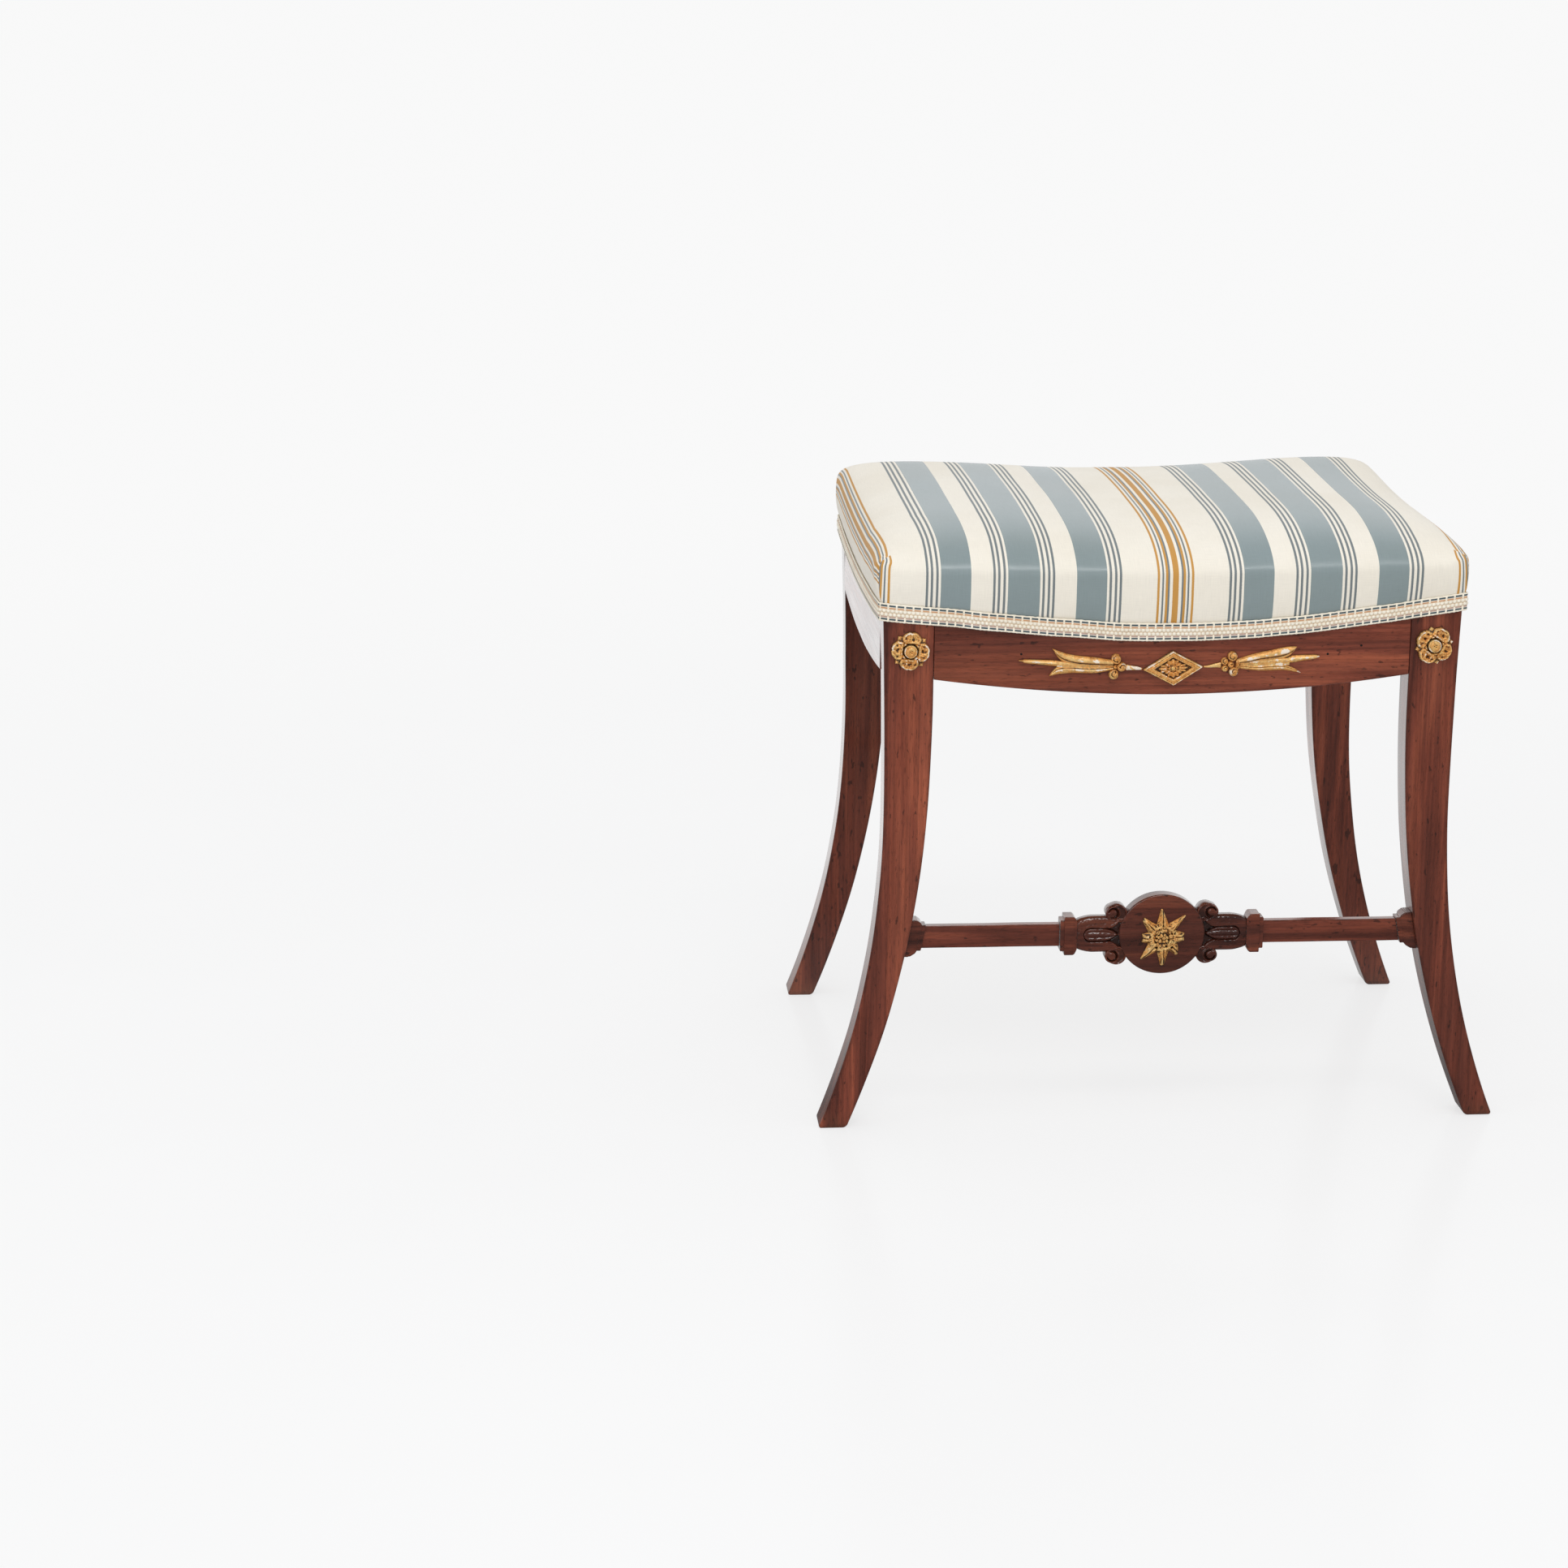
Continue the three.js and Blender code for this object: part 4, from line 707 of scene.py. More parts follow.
def build_volute(side, up):
    """A scroll right through the capital: an eye, a sunk spiral and the band that curls round it from the disc."""
    rings, cavity = [], []
    order = [(share, 0.0) for share in EYE_RINGS] + [(1.0, share) for share in SCROLL_RINGS]
    for face in (-1, 1):
        for inner, outer in order[::-face]:
            ring = []
            for t in circle(84):
                turn = (up * t) % (2 * math.pi)
                reach = 5.45 + 6.0 * smooth(1.2, 3.2, turn) * (1 - smooth(3.5, 5.0, turn))
                r = EYE_R * inner + outer * (reach - EYE_R)
                gap = 0.55 + 1.0 * smooth(0.4, 3.0, turn)
                gate = smooth(-0.1, 0.7, turn) * (1 - smooth(4.6, 5.6, turn))
                middle = EYE_R + 0.1 + gap / 2
                depth = 2.3 * gate * math.exp(-abs((r - middle) / (0.5 * gap + 0.15)) ** 2.6)
                # towards the disc the band widens and is hollowed between two rims
                depth += 1.3 * smooth(1.8, 2.6, turn) * smooth(5.3, 6.3, r) * smooth(0.9, 1.8, reach - r)
                eye = 0.25 * max(0.0, 1 - (r / EYE_R) ** 2)
                rim = 1.1 * max(0.0, 1 - (reach - r) / 0.9) ** 2
                ring.append((side * (EYE_X + r * math.cos(t)), -LEG_MID_Y + face * (6.35 + eye - depth - rim),
                             STRETCH_Z + up * EYE_Z + r * math.sin(t)))
                # painted shade in the sunk spiral and the hollowed band
                cavity.append(min(1.0, depth / 1.9))
            rings.append(ring)
    verts, faces = loft(rings)
    return verts, turned(faces, side > 0), np.array(cavity), np.zeros(len(verts))


def build_stretcher():
    # the disc is painted darker towards the bottom, as shade
    look = mahogany("roundel", "x", (4.0, 1.0, 0.7), 0.57, fade=("z", 122.0, 185.0, 0.72, 1.08))
    timber("stretcher_disc", build_roundel(), look, "stretcher_roundel")
    for side, name in SIDES:
        carved = mahogany(f"{name}_capital", "x", (side * 2.7, 3.0, 0.9), 0.5, carved=True)
        verts, faces, cavity, wear = joined([build_capital(side), build_volute(side, -1), build_volute(side, 1)])
        obj = make(f"capital_{name}", verts, faces, sharp=50, wear=wear, cavity=cavity)
        dress(obj, carved, "mahogany", f"{name}_scroll_capital")
        look = mahogany(f"{name}_mouldings", "x", (side * 5.2, 0.4, 0.1), 0.66)
        collar = turning(COLLAR, COLLAR_START, COLLAR_LEN, COLLAR_HALF, side)
        timber(f"collar_{name}", collar, look, f"{name}_stretcher_collar")
        block = turning(END_BLOCK, BAR_END + 0.3, BLOCK_LEN - 0.3, BLOCK_HALF, side, lean=(BAR_END - 0.1, BAR_END))
        timber(f"end_moulding_{name}", block, look, f"{name}_end_block")
        look = mahogany(f"{name}_bar", "x", (side * 6.4, 0.9, 3.3), 0.93)
        plain = [(x, 1.0, 1.0) for x in np.linspace(BAR_START, BAR_END, 24)]
        bar = turning(plain, 0.0, 1.0, BAR_HALF, side, 0.6, (BAR_MID, BAR_END), (0.25, 40.0, side))
        timber(f"bar_{name}", bar, look, f"{name}_stretcher_bar")


# ---------------------------------------------------------------- gilt ornaments

WOOD_FACE = -HALF_DEPTH - 0.3
DISC_FACE = -LEG_MID_Y - DISC_HALF - 0.3
QUARTER = math.pi / 2
# the middles of the ornaments
ROSETTE_X, ROSETTE_Z = 202.3, 384.8
STAR_AT = (0.7, STRETCH_Z - 2.0)
DIAMOND_AT = (0.1, 369.2)


def with_hollows(verts, faces, rounds, depth):
    """The form facing outwards, and how far each point lies below and above its surroundings from the front."""
    verts = np.array(verts, dtype=float)
    pts = verts - verts.mean(axis=0)
    volume = sum(np.dot(pts[f[0]], np.cross(pts[a], pts[b])) for f in faces for a, b in pairs(f[1:], False))
    faces = turned(faces, volume <= 0)
    level = -verts[:, 1]
    near = np.array([pair for f in faces if len(f) < 9 for pair in pairs(f)])
    a, b = np.concatenate([near, near[:, ::-1]]).T
    count = np.bincount(a, minlength=len(level)).clip(1)
    calm = level
    for _ in range(rounds):
        calm = np.bincount(a, weights=calm[b], minlength=len(level)) / count
    return verts, faces, np.clip((calm - level) / depth, 0, 1), np.clip((level - calm) / depth, 0, 1)


def polar_relief(centre, back, outline, height, rings, sides, rounds, depth=0.5):
    """A closed form with a flat back. height(x, z) stands out from the back, inside outline(angle)."""
    cx, cz = centre
    shares = [(j + 0.5) / rings * 0.96 for j in range(rings)] + [0.975, 0.99, 1.0]
    rim = [(t, outline(t)) for t in circle(sides)]
    verts = [(cx, back - height(0.0, 0.0), cz)]
    for share in shares:
        for t, reach in rim:
            x, z = share * reach * math.cos(t), share * reach * math.sin(t)
            edge = min(1.0, (1 - share) * reach / 0.8)
            verts.append((cx + x, back - height(x, z) * (0.5 + 0.5 * math.sqrt(edge)), cz + z))
    verts += [(cx + reach * math.cos(t), back, cz + reach * math.sin(t)) for t, reach in rim]
    rows = numbered(len(shares) + 1, sides, 1)
    return with_hollows(verts, fan(0, rows[0]) + strips(rows) + [tuple(rows[-1][::-1])], rounds, depth)


def edge_distance(points):
    """The outline of a star-shaped polygon by angle, and the distance from a point inside to its edge."""
    sides = [(ax, az, bx - ax, bz - az) for (ax, az), (bx, bz) in pairs(points)]

    def outline(t):
        dx, dz = math.cos(t), math.sin(t)
        best = 0.0
        for ax, az, ex, ez in sides:
            det = ex * dz - dx * ez
            if abs(det) > 1e-9 and -1e-6 <= (dx * az - dz * ax) / det <= 1 + 1e-6:
                best = max(best, (ex * az - ax * ez) / det)
        return best

    def inside(x, z):
        best = 1e9
        for ax, az, ex, ez in sides:
            s = unit(((x - ax) * ex + (z - az) * ez) / (ex * ex + ez * ez))
            best = min(best, math.hypot(x - ax - s * ex, z - az - s * ez))
        return best

    return outline, inside


def build_rosette(side):
    """Four rolled petals with a pointed sepal between each pair, round a drilled boss."""
    turn = math.radians(84.0 if side < 0 else 57.0)
    petal_mid, petal_wide, petal_long, sepal_reach = 10.5, 7.9, 4.75, 15.4

    def petal(x, z, k):
        out, across = spin(x, z, turn + k * QUARTER)
        bend = out - petal_mid + 0.045 * across * across
        notch = 0.5 * bell(across, 1.1) if out > petal_mid else 0.0
        share = (abs(across / petal_wide) ** 2.8 + abs(bend / (petal_long - notch)) ** 2.8) ** (1 / 2.8)
        return across, bend, share

    def sepal(x, z, k):
        out, across = spin(x, z, turn + (k + 0.5) * QUARTER)
        half = 2.5 * (1 - smooth(12.6, sepal_reach, out)) if out < sepal_reach else 0.0
        return out, abs(across), half

    def within(x, z):
        if math.hypot(x, z) < 10.6 or any(petal(x, z, k)[2] < 1 for k in range(4)):
            return True
        return any(out > 5 and across < half for out, across, half in (sepal(x, z, k) for k in range(4)))

    reach = []
    for t in circle(192):
        r = sepal_reach
        while not within(r * math.cos(t), r * math.sin(t)):
            r -= 0.1
        reach.append(r)

    def outline(t):
        return reach[round(t / (2 * math.pi) * len(reach)) % len(reach)]

    def height(x, z):
        r, t = math.hypot(x, z), math.atan2(z, x)
        level = 1.5
        for k in range(4):
            out, across, half = sepal(x, z, k)
            if out > 7 and across < half + 0.3:
                level = max(level, 1.9 + 1.3 * (1 - across / (half + 0.31)))
        for k in range(4):
            across, bend, share = petal(x, z, k)
            if share < 1:
                body = 1.9 + 3.0 * (1 - share ** 3) ** 0.6 + 0.75 * bell(share - 0.76, 0.13)
                body -= 1.9 * bell(across - 0.8 * (k - 1.5), 1.5) * bell(bend + 0.6, 1.7)
                body -= 0.7 * bell(abs(across) - 4.4, 1.2) * bell(bend - 0.4, 1.3)
                body += 0.4 * bell(abs(across) - 2.5, 0.5) * bell(bend + 1.0, 2.0)
                level = max(level, body + rough(x, z, k + 3.0, 1.6, 0.9))
        if r < 8.8:
            ring = bell(r - 6.9, 1.15)
            tips = 0.5 + 0.5 * math.cos(8 * (t - turn) + 0.6 * math.sin(3 * t))
            level = max(level, 1.6 + ring * (1.4 + 1.7 * tips) + rough(x, z, 9.0, 1.1, 0.5) * ring)
        if r < 5.6:
            dome = 0.0 if r > 5.0 else 4.9 + 2.2 * math.sqrt(1 - (r / 5.05) ** 2)
            dome -= 0.75 * bell(r - 3.9, 0.42) if r < 5 else 0.0
            dome -= 0.6 * bell(r, 1.7)
            for hx, hz in ((0.9, 0.9), (0.6, -0.7), (-0.8, 0.2)):
                dome -= 0.9 * bell(math.hypot(x - hx, z - hz), 0.42)
            level = max(1.7, dome)
        return min(7.15, level + rough(x, z, 1.0, 0.7, 0.12))

    return polar_relief((side * ROSETTE_X, ROSETTE_Z), WOOD_FACE, outline, height, 44, len(reach), 10, 0.6)


# the star's outline, anticlockwise from the right: two of its rays have lost their tips
STAR = [
    (17.2, -2.9), (16.6, 0.2), (17.2, 3.2), (9.8, 5.6), (17.6, 17.4), (16.9, 18.0), (4.2, 10.9), (-0.9, 23.3),
    (-1.9, 23.3), (-5.3, 10.3), (-15.2, 16.4), (-16.5, 13.4), (-11.6, 4.2), (-16.8, 2.9), (-16.1, -0.4),
    (-16.9, -3.9), (-11.7, -5.1), (-17.5, -17.2), (-16.9, -18.3), (-4.6, -11.6), (-1.4, -23.3), (1.4, -23.3),
    (4.9, -10.9), (10.4, -14.8), (12.2, -14.2), (12.6, -8.7), (11.3, -4.6),
]
# the angle of each ray, and how deep its groove is
RAYS = ((0.0, 1.0), (46, 0.3), (90, 0.9), (135, 1.0), (180, 0.8), (226, 1.0), (270, 0.7), (313, 1.0))
# rings of beads: radius, number, size and height
BEAD_RINGS = ((3.2, 7, 1.8, 4.3), (6.2, 12, 1.7, 3.9), (8.9, 15, 1.5, 3.3))


def build_star():
    outline, inside = edge_distance(STAR)
    beads, pits = [(0.3, 0.2, 1.9, 4.4, 0.8, 0.6)], []
    for ring, number, size, base in BEAD_RINGS:
        for k in range(number):
            a = 2 * math.pi * (k + 0.7 * random.random()) / number
            r = ring + 1.6 * (random.random() - 0.5)
            stretch = 0.45 + 0.5 * random.random()
            beads.append((r * math.cos(a), r * math.sin(a), size * (0.75 + 0.6 * random.random()),
                          base + 0.9 * (random.random() - 0.5), stretch, math.pi * random.random()))
            if k % 3 == 0:
                pits.append(((r + 1.3) * math.cos(a + 0.25), (r + 1.3) * math.sin(a + 0.25),
                             0.65 + 0.35 * random.random()))

    def height(x, z):
        level = 0.9 + min(3.6, 1.4 * inside(x, z))
        r, turn = math.hypot(x, z), math.atan2(z, x)
        for ray, deep in RAYS:
            off = math.radians(ray) - turn
            if math.cos(off) > 0.9:
                aside = r * math.sin(off) + 0.4
                level -= (1.5 * deep * bell(aside, 0.45) + 0.5 * smooth(-0.4, 0.6, -aside)) * smooth(8.5, 10.5, r)
        if r < 11.5:
            level = min(level, 2.2 + 2.2 * smooth(5.0, 9.5, r))
            for bx, bz, size, base, stretch, lie in beads:
                along, aside = spin(x - bx, z - bz, lie)
                d = math.hypot(along, aside / stretch) / size
                if d < 1:
                    level = max(level, base - 1.4 + 2.7 * math.sqrt(1 - d * d) - 0.9 * bell(aside, 0.3))
            for px, pz, size in pits:
                level -= 4.0 * math.exp(-(math.hypot(x - px, z - pz) / size) ** 4)
        return min(6.9, max(0.8, level + rough(x, z, 4.0, 0.8, 0.45)))

    return polar_relief(STAR_AT, DISC_FACE, outline, height, 56, 216, 9, 0.36)


def build_diamond():
    """A raised border round a sunk field with a ruffled flower on it."""
    half_x, half_z, tilt = 23.8, 13.9, math.radians(2.4)
    flower_x, flower_z = 10.6, 6.9
    reach = half_x * half_z / math.hypot(half_x, half_z)

    def outline(t):
        x, z = spin(math.cos(t), math.sin(t), tilt)
        return 1 / (abs(x) / half_x + abs(z) / half_z)

    def height(px, pz):
        x, z = spin(px, pz, tilt)
        d = (1 - abs(x) / half_x - abs(z) / half_z) * reach
        level = 1.3
        if d < 5.4:
            level = 2.2 + 1.6 * smooth(0.0, 1.0, d) - 0.35 * bell(d - 1.7, 0.35) - 2.5 * smooth(3.9, 5.2, d)
        r, t = math.hypot(x / flower_x, z / flower_z), math.atan2(z / flower_z, x / flower_x)
        lobes = 0.66 + 0.34 * abs(math.cos(2 * t)) ** 0.6 + 0.07 * math.cos(16 * t)
        if r < lobes:
            q = r / lobes
            leaf = 1.6 + 1.9 * (1 - q ** 4) ** 0.7 * (0.55 + 0.45 * q)
            leaf -= 0.8 * (0.5 - 0.5 * math.cos(8 * t)) ** 2 * (1 - smooth(0.7, 1.0, q)) * smooth(0.15, 0.4, q)
            leaf += 0.45 * math.cos(16 * t) * smooth(0.3, 0.6, q) - 0.6 * bell(q - 0.42, 0.1)
            level = max(level, leaf)
        bead = math.hypot(x + 0.2, z - 0.2) / 1.6
        if bead < 1:
            level = max(level, 2.9 + 1.2 * math.sqrt(1 - bead * bead))
        level -= bell(math.hypot(x + 11.6, z + 0.4), 1.0)
        return min(4.15, max(0.9, level + rough(x, z, 6.0, 1.1, 0.22)))

    return polar_relief(DIAMOND_AT, WOOD_FACE, outline, height, 52, 224, 10)


def curve(points, steps):
    """A smooth path through the points, evenly divided."""
    pts = np.array([points[0], *points, points[-1]], dtype=float)
    out = []
    for i in range(steps):
        s = i / (steps - 1) * (len(points) - 1)
        k = min(int(s), len(points) - 2)
        f = s - k
        p0, p1, p2, p3 = pts[k:k + 4]
        out.append(0.5 * (2 * p1 + (p2 - p0) * f + (2 * p0 - 5 * p1 + 4 * p2 - p3) * f * f
                          + (3 * p1 - p0 - 3 * p2 + p3) * f ** 3))
    return out


def blade(upper, lower, height, steps=80, across=19):
    """A leaf between two edges with a flat back. height(s, t) is its section from the lower edge, t = -1."""
    up, low = curve(upper, steps), curve(lower, steps)
    verts, faces = [], []
    for i, (high, deep) in enumerate(zip(up, low)):
        thin = min(1.0, (float(np.linalg.norm(high - deep)) / 2 + 0.15) / 1.6)
        for j in range(across):
            t = math.sin(math.pi * (j / (across - 1) - 0.5))
            x, z = high * (1 + t) / 2 + deep * (1 - t) / 2
            edge = math.sqrt(max(0.0, 1 - abs(t) ** 3.0))
            h = (0.35 + 0.65 * edge) * height(i / (steps - 1), t) * (0.45 + 0.55 * thin)
            verts.append((x, WOOD_FACE - h - rough(x, z, 2.0, 1.6, 0.16) * edge, z))
    verts += [(x, WOOD_FACE, z) for both in zip(low, up) for x, z in both]
    rows, backs = numbered(steps, across), numbered(steps, 2, steps * across)
    for a, b, c, d in zip(rows, rows[1:], backs, backs[1:]):
        faces += strips([a, b], False)
        faces += [(*c, d[1], d[0]), (a[0], c[0], d[0], b[0]), (a[-1], b[-1], d[1], c[1])]
    faces += [(*rows[0], *backs[0][::-1]), (*backs[-1], *rows[-1][::-1])]
    return with_hollows(verts, faces, 8, 0.4)


def ball(x, z, radius, proud, seed, squash=1.0, hole=None):
    """A carved knob, scored with a curl and sometimes drilled."""
    tall = radius * squash

    def outline(t):
        return 1 / math.hypot(math.cos(t) / radius, math.sin(t) / tall)

    def height(px, pz):
        q = min(1.0, math.hypot(px / radius, pz / tall))
        level = 1.2 + (proud - 1.2) * math.sqrt(1 - q * q)
        curl = math.sin(math.atan2(pz, px) + 2.2 * math.pi * q + seed)
        level -= bell(curl - 0.9, 0.3) * smooth(0.15, 0.4, q)
        if hole:
            level -= 1.8 * bell(math.hypot(px - hole[0], pz - hole[1]), 0.75)
        return max(0.8, level + rough(px, pz, seed, 1.0, 0.25))

    return polar_relief((x, z), WOOD_FACE, outline, height, 16, 48, 6)


def stem_height(s, t):
    return 1.9 + 0.6 * math.sin(math.pi * s)


def channel_height(s, t):
    return 2.5 + 0.3 * abs(t)


def spike_height(s, t):
    return 2.7 * (1 - 0.55 * abs(t))


def leaf_height(peak, groove):
    def height(s, t):
        ridge = 1.0 - 0.3 * abs(t - 0.15) ** 1.4
        return peak * (ridge - 0.22 * bell(t - groove, 0.2)) * (0.72 + 0.28 * math.sin(math.pi * min(1.0, 0.2 + s)))
    return height


# the blades of the half-spears (upper edge, lower edge, section, points along and across) and their knobs
SPEARS = {
    1: ([
        ([(24.0, 370.6), (27, 370.9), (32, 372.3), (37, 373.4)],
         [(24.0, 369.4), (27, 369.2), (32, 369.3), (37, 369.0)], stem_height, 24, 9),
        ([(52, 374), (66, 375.2), (80, 376), (90, 376.2)],
         [(52, 370), (66, 369), (80, 369.8), (90, 370.6)], channel_height, 40, 11),
        ([(87, 375.4), (92.5, 378.0), (100, 378.4), (109, 378.5), (113.2, 378.0)],
         [(87, 372.6), (92.5, 372.2), (100, 373.5), (109, 374.9), (113.2, 376.2)], spike_height, 40, 11),
        ([(48.4, 371.6), (58, 370.8), (66, 370.5), (75, 371.2), (85, 371.1), (93, 368.6), (99.2, 364.6)],
         [(48.4, 368.8), (58, 367.3), (66, 366.5), (75, 366.3), (85, 366.6), (92, 365.7), (99.0, 364.3)],
         leaf_height(3.7, 0.35)),
        ([(48.4, 375.2), (58, 378.4), (66, 380.5), (75, 382.3), (83, 383.9), (90, 385.0), (95.6, 384.9)],
         [(48.4, 371.8), (58, 371.9), (66, 373.6), (75, 374.4), (84, 375.4), (91, 378.6), (95.3, 384.4)],
         leaf_height(4.3, -0.35)),
    ], [
        (45.9, 378.0, 3.9, 5.5, 0.4), (47.0, 365.9, 3.8, 5.3, 2.3), (39.9, 374.1, 2.9, 4.4, 1.0),
        (40.2, 368.5, 2.7, 4.2, 3.0), (44.6, 371.5, 2.7, 4.6, 4.0, 1.0, (0.6, 0.2)),
        (50.0, 371.8, 1.9, 4.6, 5.0, 2.3),
    ]),
    -1: ([
        ([(-36.5, 372.4), (-32, 371.6), (-27, 370.6), (-23.9, 369.6)],
         [(-36.5, 367.8), (-32, 368.0), (-27, 368.0), (-23.9, 368.1)], stem_height, 24, 9),
        ([(-52, 372.5), (-66, 372.5), (-80, 374.5), (-90, 376.0)],
         [(-52, 369), (-66, 369), (-80, 370.2), (-90, 371.2)], channel_height, 40, 11),
        ([(-86, 375.6), (-92, 376.4), (-103, 376.9), (-114, 377.2), (-116.2, 376.6), (-119, 376.6)],
         [(-86, 371.0), (-92, 371.6), (-103, 372.9), (-114, 374.1), (-116.0, 375.3), (-119, 375.8)],
         spike_height, 48, 11),
        ([(-46.6, 371.2), (-58, 371.0), (-68, 371.2), (-78, 371.9), (-89, 371.2), (-95.5, 364.4)],
         [(-46.6, 368.4), (-58, 366.1), (-68, 366.0), (-78, 366.2), (-88, 365.4), (-95.4, 363.8)],
         leaf_height(3.9, 0.4)),
        ([(-46.6, 376.0), (-58, 377.9), (-68, 379.1), (-77.5, 380.3), (-86.5, 382.7), (-93.4, 385.6)],
         [(-46.6, 370.8), (-58, 370.7), (-68, 371.0), (-77.5, 372.3), (-87, 376.4), (-93.2, 385.0)],
         leaf_height(4.4, -0.3)),
    ], [
        (-44.2, 376.8, 4.1, 5.5, 0.9, 1.0, (0.9, -1.8)), (-39.7, 370.6, 3.8, 5.4, 2.8, 1.0, (-1.6, 0.2)),
        (-45.8, 364.8, 4.0, 5.4, 1.7, 1.0, (1.2, 2.0)), (-44.6, 370.6, 2.0, 3.4, 4.4),
    ]),
}


def build_spear(side):
    blades, knobs = SPEARS[side]
    return joined([blade(*b) for b in blades] + [ball(*k) for k in knobs])


def build_ornaments():
    pieces = [("star", build_star(), "star_ornament")]
    pieces += [(f"rosette_{name}", build_rosette(side), f"{name}_rosette") for side, name in SIDES]
    pieces += [("diamond", build_diamond(), "diamond_ornament")]
    pieces += [(f"spear_{name}", build_spear(side), f"{name}_spear_ornament") for side, name in SIDES]
    for index, (name, (verts, faces, low, high), node) in enumerate(pieces):
        look = gilt(name, (index * 1.7, 0.3 * index, 2.0), 0.35 if name == "star" else 1.0)
        dress(make(name, verts, faces, sharp=60, cavity=low, ridge=high), look, "gilding", node)


# ---------------------------------------------------------------- seat

CREST_OFF = 5.2
CREST_R = 22.0
CREST_X = CORNER_X + CREST_OFF
CREST_Y = HALF_DEPTH + CREST_OFF
HEM_R = 2.4
FOLD = math.radians(37.0)
CORNER_ANGLES = [0, 6, 12, 18, 23, 27, 30, 32.5, 34.5, 36, 36.7, 37.3, 38.2, 40, 43, 47, 52, 58, 65, 73, 81.5]
# rings of the cover: shares of the way in from the crest, and shares of the wall's height
TOPS = [0.96, 0.9, 0.83, 0.75, 0.67, 0.59, 0.52, 0.45, 0.39, 0.33, 0.28, 0.235, 0.195, 0.16, 0.132, 0.108,
        0.088, 0.071, 0.057, 0.045, 0.035, 0.027, 0.0205, 0.0152, 0.011, 0.0078, 0.0053, 0.0034, 0.002,
        0.001, 0.0]
WALLS = [0.97, 0.935, 0.9, 0.86, 0.82, 0.77, 0.71, 0.64, 0.56, 0.48, 0.4, 0.32, 0.25, 0.18, 0.12, 0.07, 0.03,
         0.0, -0.12, -0.25]
CREST = len(TOPS) - 1


def crest_z(x, y):
    rear = unit(0.5 + 0.5 * y / HALF_DEPTH)
    return 449.5 + 4.9 * rear ** 2 - 7.5 * bow(x / CORNER_X) - 11.7 * bow(y / HALF_DEPTH)


def gimp_low(x, y):
    """The braid's lower edge, nailed a little unevenly along the front."""
    share = min(1.0, abs(x) / CORNER_X)
    if x > 0:
        uneven = 2.3 * smooth(0.12, 0.75, share) - 0.7 * smooth(0.85, 1.0, share)
    else:
        uneven = 1.6 * smooth(0.1, 0.4, share) * (1 - 2 * smooth(0.7, 1.02, share))
    uneven *= 1 - smooth(-HALF_DEPTH, -60.0, y)
    return CORNER_Z - 16.0 - FRONT_BOW * bow(x / CORNER_X) - SIDE_BOW * bow(y / HALF_DEPTH) + uneven


def seat_z(x, y):
    """Height of the stretched cover over the crest's outline."""
    rise = 1.0
    for inward, soft, power in ((y + CREST_Y, 34.9, 0.8), (CREST_Y - y, 20.0, 0.61), (CREST_X - abs(x), 18.5, 0.4)):
        rise *= 1 - math.exp(-((max(0.0, inward) / soft) ** power))
    wave = 0.5 - 0.5 * math.cos(math.pi * min(1.0, abs(x) / 186.0))
    # the back corners are fuller, the right one more so
    corner = (abs(x) / 200.0) ** 3 * unit((y + 20.0) / 160.0) ** 2
    crown = 479.7 + 9.4 * wave + (7.6 if x < 0 else 11.2) * corner
    low = crest_z(x, y)
    return low + (crown - low + rough(x, y, 1.0, 75.0, 0.8)) * rise


def wall_off(peak, h):
    """How far the cover stands out past the frame, h above the braid."""
    return 1.2 + (peak - 1.2) * math.sin(math.pi / 2 * unit(h / 22.0)) ** 0.9


def seat_columns():
    """Every column of the seat's net, anticlockwise: a side and a place along it, or a corner and an angle."""
    falling = [90] + CORNER_ANGLES[:0:-1]
    columns = []
    for axis, sign, steps, sx, sy, angles in (
            ("y", 1, 64, 1, 1, CORNER_ANGLES), ("x", 1, 84, -1, 1, falling),
            ("y", -1, 64, -1, -1, CORNER_ANGLES), ("x", -1, 84, 1, -1, falling)):
        columns += [(axis, sign, 2 * (k / steps) - 1) for k in range(steps)]
        columns += [("c", (sx, sy), math.radians(phi)) for phi in angles]
    return columns


def column_point(column, hx, hy, r):
    """The place of a column on an outline with these half sizes and this corner radius."""
    axis, sign, at = column
    if axis == "y":
        return sign * hx, sign * at * (hy - r)
    if axis == "x":
        return -sign * at * (hx - r), sign * hy
    return sign[0] * (hx - r + r * math.cos(at)), sign[1] * (hy - r + r * math.sin(at))


def fold_push(at, level):
    """How far the pleat at a corner stands out from the seat. level is 1 on the wall, 0 on the crown."""
    gap = CREST_R * (at - FOLD)
    return level * 0.8 * math.exp(-gap / 9.0) if gap > 0 else -level * 0.75 * math.exp(gap / 3.5)


def round_crest(line):
    """A column's points, with the crest rounded over."""
    soft, reach = 2.8, 12.0
    steps = np.linalg.norm(np.diff(line, axis=0), axis=1)
    s = np.concatenate([[0.0], np.cumsum(steps)])
    weight = np.append(0.0, steps) / 2 + np.append(steps, 0.0) / 2
    out = line.copy()
    for j, away in enumerate(abs(s - s[CREST])):
        if away < reach:
            near = np.exp(-((s - s[j]) ** 2) / (2 * soft ** 2)) * weight
            calm = (line * near[:, None]).sum(axis=0) / near.sum()
            out[j] += (calm - line[j]) * (1 - smooth(reach * 0.6, reach, away))
    return out


